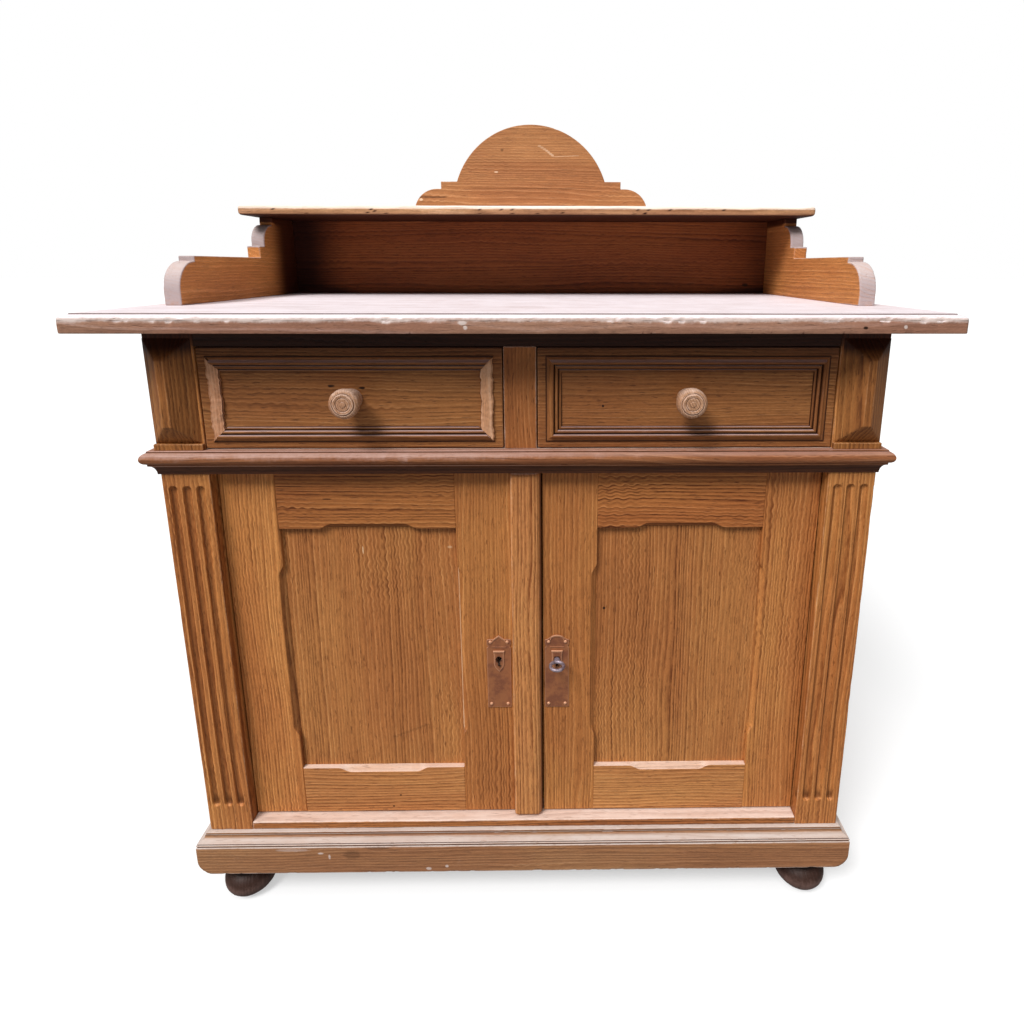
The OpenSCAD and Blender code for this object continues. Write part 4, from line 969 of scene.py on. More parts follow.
# Painted shade: the top rail's near-black colours stand for the shadow under the worktop's overhang.
SHADED_RAIL = WoodFinish("shaded rail wood", srgb(56, 28, 15), srgb(28, 13, 8), srgb(90, 60, 40), bleach=0.0, wear=0.2)
# Painted shade: the gallery back's darker colours stand for the shade under the shelf.
SHADE = WoodFinish("shaded wood", srgb(146, 77, 36), srgb(74, 28, 10), srgb(160, 100, 66), bleach=0.2, wear=0.2,
                   shade_grime_strength=0.95, marks=(Mark((414.0, 463, 871.3), (8, 3, 4), 0.9),))
DARK = WoodFinish("dark wood", srgb(60, 40, 33), srgb(42, 27, 22), srgb(108, 82, 74), bleach=0.0, wear=0.66, ripple=0.3,
                  contrast=0.4, shade_grime_strength=1.0)
TOP = WoodFinish("worktop wood", srgb(165, 123, 103), srgb(96, 62, 46), srgb(218, 199, 190), srgb(240, 229, 233),
                 wear=0.62, bleach=0.97, contrast=0.5, ripple=0.5,
                 marks=(Mark((435.4, -52, 840.8), (2.6, 3, 2.6), -1.0), Mark((390.4, -52, 839.7), (3.2, 3, 2.2)),
                        Mark((-60.4, -52, 845.1), (6, 3, 3), -1.0), Mark((-57.0, -52, 840.0), (3, 3, 3), -1.0)))
SHELF = WoodFinish("shelf wood", srgb(198, 150, 112), srgb(120, 78, 48), srgb(240, 218, 198), srgb(246, 234, 226),
                   wear=0.5, bleach=0.9, contrast=0.6, ripple=0.4, shade_grime_strength=1.0)
GALLERY = WoodFinish("gallery wood", srgb(192, 126, 72), srgb(118, 66, 28), srgb(184, 167, 166), srgb(212, 193, 186),
                     wear=0.66, bleach=0.6, ripple=0.5, contrast=0.5, shade_grime_strength=0.97)
CREST = WoodFinish("crest wood", srgb(190, 130, 84), srgb(140, 84, 46), srgb(240, 204, 170), ripple=0.7, contrast=0.7,
                   wear=0.25,
                   marks=(Mark((-52.9, 463, 1116.5), (3.6, 3, 3.0), 0.5), Mark((-64.8, 463, 1077.9), (5, 3, 1.6), -1.0),
                          Mark((-206.0, 463, 1028.5), (4, 3, 3), -1.0), Mark((0, 463, 1048.6), (176, 3, 1.0), 0.4),
                          *scratch((14, 463, 1125), (28, 463, 1117), 0.8, -0.4, 3),
                          *scratch((28, 463, 1117), (42, 463, 1106), 0.9, -0.6, 4),
                          *scratch((42, 463, 1105), (88, 463, 1107), 0.8, -0.5, 5),
                          *scratch((-213, 463, 1033), (-159, 463, 1033), 1.4, 0.8, 5)))
BARE = WoodFinish("bare wood", srgb(206, 150, 112), srgb(170, 112, 78), srgb(228, 180, 146), contrast=0.2, relief=0.6,
                  bleach=0.3, shade_grime_strength=0.9, wear=0.6)
KNOB = WoodFinish("knob wood", srgb(184, 138, 108), srgb(126, 84, 58), srgb(218, 180, 156), pitch=2.6, ripple=0.0,
                  contrast=0.5, wear=0.6, bleach=0.4)
RAW = WoodFinish("raw wood", srgb(196, 158, 108), srgb(150, 108, 66), srgb(214, 184, 142), bleach=0.0, contrast=0.5,
                 relief=0.2, ripple=0.4, roughness=0.7)


# Sub-assemblies


def ellipse(cx: float, cy: float, rx: float, ry: float, angles: Sequence[float]) -> Line:
    """Points of an ellipse at angles in degrees."""
    return [(cx + rx * math.cos(math.radians(a)), cy + ry * math.sin(math.radians(a))) for a in angles]


def arc(cx: float, cy: float, r: float, start: float, end: float, steps: int) -> Line:
    """Points on an arc between two angles in degrees."""
    return ellipse(cx, cy, r, r, [start + (end - start) * k / steps for k in range(steps + 1)])


def mirrored(shape: Shape, sign: int) -> Shape:
    """A change of points written for the right side, used on either side."""
    if sign > 0:
        return shape
    flip = np.array([-1.0, 1.0, 1.0])
    return lambda p: shape(p * flip) * flip


@dataclass
class Levels:
    """Heights and widths that several classes share."""

    plinth_low: float = 56.0
    plinth_high: float = 116.0
    ledge: float = 128.0
    waist: float = 652.0
    drawers: float = 684.0
    rail: float = 812.0
    top: float = 833.0
    gallery: float = 855.0
    shelf: float = 989.0
    crest: float = 1005.0
    half: float = 450.0
    opening: float = 390.0
    back: float = 480.0


@dataclass
class Part:
    """A group of wooden pieces that ride on one body."""

    palette: Palette
    body = "carcass"

    def finish(self, skin: Skin, wood: WoodFinish, slot: str, nodes: Sequence[str], crease: float = 34.0) -> None:
        """Makes a skin's object in a wood and hands it to the part's body."""
        skin.build(self.palette.wood(wood), self.body, slot, nodes, crease)


@dataclass
class Feet(Part):
    """Four turned bun feet."""

    radius: float = 36.0
    height: float = 56.0

    def build(self) -> None:
        """Turns each foot from its section and places it under its corner."""
        r, h = self.radius, self.height
        section = [(0.0, 0.0), (r * 0.66, 0.0)] + arc(r - h * 0.34, h * 0.36, h * 0.34, -60, 62, 12) + [
            (r * 0.66, h * 0.76), (r * 0.66, h * 0.84), (r * 0.86, h * 0.88), (r * 0.86, h - 0.05), (0.0, h - 0.05)]
        for k, name in enumerate(("front_left", "front_right", "back_left", "back_right")):
            low, high = node_box("foot_" + name)
            middle = (low + high) / 2
            skin = Skin("bun_foot_" + name, Grain.UP, 40 + k)
            add_turned(skin, section, (middle[0], middle[1], 0.0), (0, 0, 1), fillet=1.0, dent=0.5)
            z = skin.places()[:, 2]
            skin.worn = [np.clip((36 - z) / 16, 0, 1) * 0.7]
            # The neck under the plinth gets painted shade.
            skin.shade_and_dirt = [np.clip((z - 34) / 7, 0, 1)]
            self.finish(skin, DARK, "wood_dark", ["foot_" + name])


@dataclass
class Plinth(Part):
    """Moulded plinth boards, mitred at the front, with ball-shaped lower corners."""

    levels: Levels
    out: float = 15.0
    thick: float = 22.0
    corner: float = 22.0

    def section(self) -> Line:
        """Outwards distance from the posts and height of the board's section: a bead and a cove over a flat face."""
        o, top, low = self.out, self.levels.plinth_high, self.levels.plinth_low
        cove = ellipse(o - 1.2, top - 3.0, -8.3, -7.0, range(90, -1, -15))
        return [(o - self.thick, low), (o, low), (o, top - 15.5), (o - 1.6, top - 15.1), (o - 1.7, top - 13.7),
                (o - 0.4, top - 13.3), (o - 0.4, top - 11.7), (o - 1.9, top - 11.3), (o - 1.9, top - 10.4)] + cove + [
                (o - 10.5, top - 2.4), (o - 10.5, top), (o - self.thick, top)]

    def looks(self, q: Array) -> tuple[Array, Array]:
        """Wear on the face, pale wear and painted light towards the cove's lower edge, and dirt and painted shade in
        the grooves and at the cove's back.
        """
        o, h = q[:, 0] - self.out, q[:, 1] - self.levels.plinth_high
        groove = np.exp(-((h + 14.4) / 0.7) ** 2) + np.exp(-((h + 10.9) / 0.6) ** 2)
        groove = groove * (o < -0.9) + 0.7 * np.exp(-((h + 3.2) / 1.0) ** 2) * (o < -8.6)
        return 0.3 * (h < -15.4) + 0.6 * np.clip((-3.5 - h) / 3, 0, 1) * (h > -10.4), groove

    def round_corner(self, p: Array) -> Array:
        """Pulls points outside a ball back onto it, near the right lower front corner."""
        w, r = self.levels.half + self.out, self.corner
        centre = np.array([w - r, r - self.out, self.levels.plinth_low + r])
        inside = (p[..., 0] > w - r) & (p[..., 1] < r - self.out) & (p[..., 2] < self.levels.plinth_low + r)
        away, ball = p - centre, r * math.sqrt(2)
        length = np.linalg.norm(away, axis=-1)
        scale = np.where(inside & (length > ball), ball / np.maximum(length, 1e-6), 1.0)
        return centre + away * scale[..., None]

    def both_corners(self, p: Array) -> Array:
        """Rounds the right and the left lower corner."""
        return mirrored(self.round_corner, -1)(self.round_corner(p))

    def build(self) -> None:
        """Carries the section along the front and both sides."""
        half, back = self.levels.half, self.levels.back
        front = Skin("plinth_front_board", Grain.ACROSS, 61)
        add_moulding(front, self.section(), (-half, 0, 0), (1, 0, 0), (0, -1, 0), (0, 0, 1), 2 * half, (-1, 1),
                     step=3.0, chip=1.1, looks=self.looks, shape=self.both_corners)
        self.finish(front, PLINTH, "wood_honey", ["plinth_front"])
        sides = Skin("plinth_side_boards", Grain.DEEP, 62)
        for s in (-1, 1):
            add_moulding(sides, self.section(), (s * half, 0, 0), (0, 1, 0), (s, 0, 0), (0, 0, 1), back, (-1, 0),
                         step=5.0, chip=1.1, looks=self.looks, shape=mirrored(self.round_corner, s))
        self.finish(sides, PLINTH, "wood_honey", ["plinth_returns"])


@dataclass
class Carcass(Part):
    """Posts, rails, boards and the waist moulding."""

    levels: Levels
    flutes: int = 3
    pitch: float = 17.0
    flute_radius: float = 6.0
    flute_depth: float = 4.5
    flute_low: float = 162.0
    flute_high: float = 630.0
    waist_out: float = 15.0
    block_out: float = 20.0
    back_count: int = 5

    @property
    def post_middle(self) -> float:
        """Where the middle of the right post lies."""
        return (self.levels.half + self.levels.opening) / 2

    def fluted(self, p: Array) -> Array:
        """Sinks the flutes into a right post's front: the depth of a circle's arc, with ball-shaped ends."""
        depth = np.zeros(p.shape[:-1])
        beyond = np.clip(self.flute_low - p[..., 2], 0, None) + np.clip(p[..., 2] - self.flute_high, 0, None)
        for k in range(self.flutes):
            x = p[..., 0] - self.post_middle - (k - (self.flutes - 1) / 2) * self.pitch
            chord = np.sqrt(np.clip(self.flute_radius ** 2 - x ** 2 - beyond ** 2, 0, None))
            depth = np.maximum(depth, chord - (self.flute_radius - self.flute_depth))
        front = np.clip(1 - p[..., 1] / 3.0, 0, 1)
        moved = p.copy()
        moved[..., 1] += depth * front
        return moved

    def posts(self) -> None:
        """Both corner posts, each a board with flutes sunk into its front."""
        reach = math.sqrt(self.flute_radius ** 2 - (self.flute_radius - self.flute_depth) ** 2)
        local = np.concatenate([np.linspace(-reach - 0.8, reach + 0.8, 17), [-reach, reach]])
        lines = np.concatenate([self.post_middle + (k - 1) * self.pitch + local for k in range(self.flutes)])
        ends = np.concatenate([self.flute_low + np.linspace(-7, 3, 12), self.flute_high + np.linspace(-3, 7, 12)])
        for s, side in ((-1, "left"), (1, "right")):
            low, high = node_box("post_" + side)
            skin = Skin("fluted_post_" + side, Grain.UP, 70 + s)
            add_board(skin, low, high, 1.3, 14, 1.6, {0: s * lines, 2: ends}, mirrored(self.fluted, s), waver=0.0)
            p = skin.places()
            # Painted shade on the left side of each flute and at the flutes' lower ends, and painted shadow below the
            # worktop.
            sunk = np.clip((p[:, 1] - 0.2) / 3, 0, 1) * (p[:, 1] < 6) * (p[:, 2] < 640)
            place = (p[:, 0] - s * self.post_middle + 1.5 * self.pitch) % self.pitch / self.pitch
            skin.shade_and_dirt = [sunk * np.maximum(np.clip(0.75 - place, 0.15, 0.54),
                                             0.58 * (np.abs(p[:, 2] - self.flute_low) < 4.0))
                           + np.clip((p[:, 2] - self.levels.top + 24) / 8, 0, 0.97) * (p[:, 1] < 4)]
            self.finish(skin, POST, "wood_honey", ["post_" + side], crease=50)

    def corner_blocks(self) -> None:
        """Faceted blocks: the front stands out by the smaller of two roofs, one over x and one over z."""
        x0, x1 = self.levels.opening + 3, self.levels.half
        middle, flat = (x0 + x1) / 2, 4.5
        z0, z1, slope = self.levels.drawers + 8, self.levels.top - 11, 25.0
        for s, side in ((-1, "left"), (1, "right")):
            skin = Skin("corner_block_" + side, Grain.UP, 75 + s)
            x = np.unique(np.concatenate([np.linspace(x0, x1, 34), [middle - flat, middle + flat]]))
            z = np.unique(np.concatenate([np.linspace(z0, z1, 66), [z0 + slope, z1 - slope]]))
            gx, gz = np.meshgrid(x, z, indexing="ij")
            roof_x = np.minimum((gx - x0) / (middle - flat - x0), (x1 - gx) / (x1 - middle - flat))
            roof_z = np.minimum((gz - z0) / slope, (z1 - gz) / slope)
            a, b = np.clip(roof_x, 0, 1), np.clip(roof_z, 0, 1)
            lower, apart = np.minimum(a, b), np.abs(a - b)
            out = self.block_out * (lower - 0.03 * np.exp(-apart / 0.04) * lower)
            worn = 0.75 * np.exp(-apart / 0.05) * (lower < 0.999)
            worn = np.maximum(worn, 0.8 * np.exp(-np.abs(np.abs(gx - middle) - flat) / 1.2) * (b > 0.999))
            p = np.stack([s * gx, -out, gz], axis=-1)
            skin.grid(p, worn)
            back = p.copy()
            back[..., 1] = 0.0
            skin.cap(np.concatenate([back[0], back[1:, -1], back[-1, ::-1][1:], back[::-1, 0][1:-1]]))
            # Painted shadow of the worktop over the blocks' upper ends.
            skin.shade_and_dirt = [np.clip((skin.places()[:, 2] - z1 + 30) / 24, 0, 0.95)]
            low, high = node_box("diamond_block_" + side)
            add_board(skin, (low[0], -6.0, self.levels.drawers), (high[0], 0.0, z0), 0.9, 6, 0.8, waver=0.0)
            self.finish(skin, BLOCK, "wood_honey", ["diamond_block_" + side], crease=14)

    def waist_section(self) -> Line:
        """Outwards distance and height of the waist moulding's section: a cove under a half-round nose."""
        nose_r, top = 7.5, 32.0
        nose_z, nose_x = top - 2 - nose_r, self.waist_out - nose_r
        cove_z = nose_z - nose_r - 2.5
        cove = [(2 + (nose_x - 0.5) * (1 - math.cos(math.radians(a))), cove_z * math.sin(math.radians(a)))
                for a in range(0, 91, 15)]
        return [(0.0, 0.0), (2.0, 0.0)] + cove[1:] + [(nose_x + 1.5, nose_z - nose_r)] + arc(
            nose_x, nose_z, nose_r, -75, 75, 12) + [(nose_x + 1, nose_z + nose_r), (nose_x + 1, top), (0.0, top)]

    def waist_looks(self, q: Array) -> tuple[Array, Array]:
        """Wear on the nose, painted shade in the cove, and dirt and painted shade behind the nose."""
        behind = np.exp(-((q[:, 0] - 8) ** 2 + (q[:, 1] - 30.5) ** 2) / 1.2)
        shade_and_grime = np.clip((13.5 - q[:, 1]) / 4, 0, 0.95) + 0.9 * behind
        return 0.1 * (q[:, 1] > 15.5) + 0.4 * np.clip((q[:, 1] - 20) / 7, 0, 1), shade_and_grime

    def waist(self) -> None:
        """The waist moulding along the front and both sides, mitred at the corners."""
        half, z = self.levels.half, self.levels.waist
        skin = Skin("waist_moulding_front", Grain.ACROSS, 81)
        add_moulding(skin, self.waist_section(), (-half, 0, z), (1, 0, 0), (0, -1, 0), (0, 0, 1), 2 * half, (-1, 1),
                     step=3.0, chip=0.9, looks=self.waist_looks)
        skin.worn = [w * np.clip(0.95 - (q[:, 0] + 60) / 520, 0.3, 1) for w, q in zip(skin.worn, skin.points)]
        self.finish(skin, MOULD, "wood_honey", ["waist_moulding"])
        side = Skin("waist_moulding_sides", Grain.DEEP, 82)
        for s in (-1, 1):
            add_moulding(side, self.waist_section(), (s * half, 0, z), (0, 1, 0), (s, 0, 0), (0, 0, 1),
                         self.levels.back, (-1, 0), step=5.0, chip=0.9, looks=self.waist_looks)
        self.finish(side, MOULD, "wood_honey", [])

    def boards(self) -> None:
        """The plain boards and rails, each from the box of its CAD node."""
        plain = (("side_left", Grain.UP_SIDE, HONEY, "wood_honey"), ("side_right", Grain.UP_SIDE, HONEY, "wood_honey"),
                 ("drawer_divider", Grain.UP, RED, "wood_honey"), ("plinth_back", Grain.ACROSS, RAW, "wood_inside"),
                 ("floor_board", Grain.FLAT, RAW, "wood_inside"), ("inner_shelf", Grain.FLAT, RAW, "wood_inside"))
        for k, (node, grain, finish, slot) in enumerate(plain):
            low, high = node_box(node)
            skin = Skin(node.replace("drawer_divider", "drawer_upright") + "_board", grain, 90 + k)
            add_board(skin, low, high, 1.0, 25, 1.0)
            self.finish(skin, finish, slot, [node])
        low, high = node_box("back_boards")
        width, gap = (high[0] - low[0]) / self.back_count, 0.5
        skin = Skin("back_board_row", Grain.UP, 96, -0.05)
        for k in range(self.back_count):
            x = low[0] + k * width
            start, end = x + gap * (k > 0), x + width - gap * (k < self.back_count - 1)
            add_board(skin, (start, low[1], low[2]), (end, high[1], high[2]), 1.6, 25, 1.0)
        self.finish(skin, RAW, "wood_inside", ["back_boards"])
        levels = self.levels
        skin = Skin("bottom_rail_board", Grain.ACROSS, 97, 0.05)
        add_board(skin, (-levels.opening, 0, levels.plinth_high), (levels.opening, 37.4, levels.ledge), 2.0, 6, 1.4)
        self.finish(skin, RED, "wood_honey", ["bottom_rail"])
        skin = Skin("top_rail_board", Grain.ACROSS, 98)
        add_board(skin, (-levels.opening, 0, levels.rail), (levels.opening, 20, levels.top), 1.0, 20, 1.0)
        add_board(skin, (-430, 20, levels.rail), (430, 60, levels.top), 1.0, 20, 1.0)
        self.finish(skin, SHADED_RAIL, "wood_dark", ["top_rail"])

    def build(self) -> None:
        """Makes every piece of the carcass."""
        self.posts()
        self.corner_blocks()
        self.waist()
        self.boards()


@dataclass
class Worktop(Part):
    """The moulded worktop, worn white on top, with a painted sky sheen there, and chipped along its edge."""

    levels: Levels
    half: float = 508.0
    front: float = -52.0
    back: float = 493.0
    thick: float = 22.0
    face: float = 15.0
    edge: float = 9.0
    plan_corner: float = 5.0
    ring_count: int = 19

    def ring(self, inset: float, height: float, turn: Array, way: Array) -> Array:
        """One ring of the edge: a rectangle with rounded front corners, smaller by the inset at the front and sides.

        Args:
            inset: how far it moves in.
            height: its height over the worktop's underside.
            turn: for each point, -1 on the left side, 0 at the front and 1 on the right, with fractions on the corners.
            way: for each point, how far it is along its side, from 0 to 1.

        Returns:
            the ring's points.
        """
        r = max(self.plan_corner - inset * 0.5, 1.0)
        x1, y0, y1 = self.half - inset, self.front + inset, self.back
        side = np.abs(turn) >= 1
        at_front = turn == 0
        angle = np.clip(1 - np.abs(turn), 0, 1) * math.pi / 2
        x = np.where(side, x1, np.where(at_front, (2 * way - 1) * (x1 - r), x1 - r + r * np.cos(angle)))
        x = np.where(at_front, x, np.sign(turn) * x)
        y = np.where(side, y0 + r + (y1 - y0 - r) * way, np.where(at_front, y0, y0 + r - r * np.sin(angle)))
        return np.stack([x, y, np.full(x.shape, self.levels.top + height)], axis=-1)

    def column(self, first: int, *values: float) -> Array:
        """A value for each of the edge's rings: the given ones from the first ring on, and 0 elsewhere."""
        out = np.zeros((self.ring_count, 1))
        out[first:first + len(values), 0] = values
        return out

    def build(self) -> None:
        """Carries the edge's profile round the front and the sides, and closes the slab."""
        long, deep = np.linspace(0, 1, 420), np.linspace(0, 1, 190)
        bend, side = np.linspace(0, 1, 7)[1:-1], np.ones(len(deep))
        turn = np.concatenate([-side, -bend[::-1], np.zeros(len(long)), bend, side])
        way = np.concatenate([deep[::-1], bend * 0, long, bend * 0, deep])
        profile = [(2.2, 0.0), (0.8, 0.0), (0.2, 0.3), (0.0, 0.9), (0.0, 5.0), (0.0, 10.0), (0.0, self.face - 1.2),
                   (0.25, self.face - 0.3)]
        rise = self.thick - 1.2 - self.face
        profile += [(self.edge * (1 - math.cos(math.radians(a))), self.face + rise * math.sin(math.radians(a)))
                    for a in (12, 26, 42, 60, 78, 90)]
        profile += [(self.edge + 0.4, self.thick - 0.9), (self.edge + 0.5, self.thick - 0.2),
                    (self.edge + 1.2, self.thick), (self.edge + 4.0, self.thick), (self.edge + 30.0, self.thick)]
        share = self.column(2, 0.05, 0.1, 0.1, 0.25, 0.75, 1.0, 1.0, 0.9, 0.85, 0.85, 0.9, 0.8, 0.0, 0.0, 0.6, 0.3, 0.2)
        # hollow: dirt and painted shade in the quirk along the top.
        hollow = self.column(13, 0.7, 1.0, 0.9, 0.1)
        bites = self.column(1, 0.8, 1.2, 0.7, 0.0, 0.0, 1.0, 1.8, 1.7, 1.0, 0.4, 0.0, 0.0, 0.0, 0.0, 0.2, 0.3)
        skin = Skin("worktop_slab", Grain.FLAT, 11)
        rings = np.array([self.ring(i, h, turn, way) for i, h in profile])
        inwards = np.array([self.ring(i + 1, h, turn, way) for i, h in profile]) - rings
        bite = chipped(rings, 14, 8.0, 0.3)
        fine = np.clip(smooth_noise(rings, 3.0, 18), 0, 1) * 0.25
        depth = (bite * 1.3 + fine) * bites
        rings = rings + inwards * depth[..., None]
        rings[..., 2] -= 0.7 * depth * self.column(6, 1.0, 1.0, 1.0, 1.0, 0.5)
        worn = np.clip(share * (0.75 + 0.25 * smooth_noise(rings, 35, 16)) + 0.6 * bite * (bites > 0), 0, 1)
        nick = (chipped(rings, 19, 5.0, 0.62) > 0.02) * self.column(0, 1.0, 1.0, 1.0, 0.6)
        seam = np.clip(0.5 + 0.9 * smooth_noise(rings, 12, 21), 0, 0.9) * self.column(6, 0.4, 0.8)
        skin.grid(rings, worn, np.maximum(hollow, np.maximum(nick, seam)))
        skin.cap(rings[0])
        skin.cap(rings[-1], 0.3)
        skin.cap(np.concatenate([rings[:, 0], rings[::-1, -1]]))
        self.finish(skin, TOP, "wood_worn", ["worktop"], crease=40)


@dataclass
class Gallery(Part):
    """Side boards, back, shelf and crest on the worktop."""

    levels: Levels
    outer: float = 472.0
    inner: float = 450.0
    front: float = 88.0
    end: float = 481.0
    back: float = 463.0
    neck: float = 373.0
    arm: float = 65.0
    arm_step: float = 7.0
    arm_radius: float = 40.0
    block: float = 19.0
    block_depth: float = 16.0
    neck_radius: float = 33.0
    shelf_front: float = 321.0
    shelf_half: float = 481.0
    crest_half: float = 219.0
    crest_foot: float = 43.0

    def side_outline(self) -> Line:
        """The side board's outline in y and z: a rounded arm, two steps and a quarter-round neck."""
        z, low = self.levels.gallery, self.arm - self.arm_step
        high = self.levels.shelf - z
        step_y, curve_y, curve_z = self.front + self.arm_radius + 1, self.neck - self.neck_radius, high - 13
        line = [(self.end, 0.0), (self.end, high), (self.neck + 4, high), (self.neck + 4, curve_z)]
        line += arc(self.neck, curve_z - self.neck_radius, self.neck_radius, 90, 180, 12)
        line += [(curve_y, self.arm + self.block), (curve_y - self.block_depth, self.arm + self.block),
                 (curve_y - self.block_depth, self.arm), (step_y, self.arm), (step_y, low)]
        line += arc(self.front + self.arm_radius, low - self.arm_radius, self.arm_radius, 90, 180, 14)
        line += [(self.front, 0.0)]
        return [(y, z + h) for y, h in line]

    def crest_outline(self) -> Line:
        """The crest's outline in x and z: rounded feet, a step at each side and an arch."""
        foot = self.crest_half - self.crest_foot
        step_x, high = foot - 8, self.crest_foot + 13
        arch_x, rise = step_x - 30, 100.0
        r = (arch_x ** 2 + rise ** 2) / (2 * rise)
        start = math.degrees(math.asin((r - rise) / r))
        right = arc(foot, 0, self.crest_foot, 0, 90, 12) + [(step_x, self.crest_foot), (step_x, high)]
        right += arc(0, high + rise - r, r, start, 90, 30)
        left = [(-x, z) for x, z in right[-2::-1]]
        return [(x, z + self.levels.crest) for x, z in right + left]

    def arms(self) -> None:
        """The two side boards, worn along their fronts and shaded in the corners."""
        z = self.levels.gallery
        for s, side in ((-1, "left"), (1, "right")):
            skin = Skin("gallery_arm_" + side, Grain.DEEP, 100 + s, 0.05)
            x0, x1 = sorted((s * self.inner, s * self.outer))
            add_plate(skin, self.side_outline(), x0, x1, 0, 1.5, 1.0, 4.0, 1.4)
            p = skin.places()
            wall = outline_distance(p[:, 1:], np.array(self.side_outline())) < 0.6
            neck = (p[:, 1] < self.neck + 2) & (p[:, 2] > z + 82) & (p[:, 2] < z + 123)
            front = np.clip((150 - p[:, 1]) / 25, 0, 1) * np.clip(0.55 + (p[:, 2] - z) / 60, 0, 1) + 1.2 * neck
            front += 0.6 * (p[:, 1] < self.neck) * (p[:, 2] > z + self.arm + self.block + 1)
            skin.worn = [np.concatenate(skin.worn) * (0.45 + 0.5 * front) + 1.2 * wall * front]
            # Painted shade towards the back corner, stronger on the left, and under the shelf.
            inside = np.abs(p[:, 0]) < self.inner + 1
            shade = np.clip((p[:, 1] - 345) / 85, 0, 1) * (1.0 if s < 0 else 0.3) * inside
            skin.shade_and_dirt = [np.maximum(shade, 0.9 * (p[:, 2] > z + 124))]
            self.finish(skin, GALLERY, "wood_honey", ["gallery_side_" + side])

    def back_board(self) -> None:
        """The back, shaded in its corners and along its foot."""
        z = self.levels.gallery
        skin = Skin("gallery_back_board", Grain.ACROSS, 103, -0.05)
        add_board(skin, (-self.inner, self.back, z), (self.inner, self.end, self.levels.shelf), 0.8, 14, 0.5)
        p = skin.places()
        # Painted shade in the corners, stronger on the left, and along the foot.
        corner = np.clip(1.12 - (self.inner - np.abs(p[:, 0])) / 105, 0, 1) * np.where(p[:, 0] < 0, 1.0, 0.5)
        corner = np.clip(corner + np.clip((z + 16 - p[:, 2]) / 26, 0, 0.6), 0, 1)
        skin.shade_and_dirt = [corner * (p[:, 1] < self.end - 1)]
        self.finish(skin, SHADE, "wood_dark", ["gallery_back"])

    def shelf(self) -> None:
        """The shelf, with a worn rim and small nicks along its edge."""
        skin = Skin("gallery_shelf_board", Grain.FLAT, 104)
        add_board(skin, (-self.shelf_half, self.shelf_front, self.levels.shelf),
                  (self.shelf_half, self.end, self.levels.crest), 6.2, 6, 1.6)
        p = skin.places()
        # Painted shade on the underside; the nicks are dark dents.
        under = np.clip((self.levels.shelf + 3.5 - p[:, 2]) / 3, 0, 1)
        nick = (chipped(p, 106, 3.2, 0.72) > 0.02) & (np.abs(p[:, 2] - self.levels.shelf - 6) < 3.5)
        skin.shade_and_dirt = [np.maximum(under, nick)]
        rim = np.clip((p[:, 2] - self.levels.shelf - 8.5) / 3, 0, 1)
        skin.worn = [np.concatenate(skin.worn) * np.maximum(rim, 0.1) + 0.75 * rim]
        self.finish(skin, SHELF, "wood_worn", ["gallery_shelf"])

    def build(self) -> None:
        """Makes every piece of the gallery."""
        self.arms()
        self.back_board()
        self.shelf()
        skin = Skin("crest_board", Grain.ACROSS, 105, -0.1)
        add_plate(skin, self.crest_outline(), self.back, self.end, 1, 1.0, 0.8, 4.0, 1.2)
        self.finish(skin, CREST, "wood_honey", ["crest"])


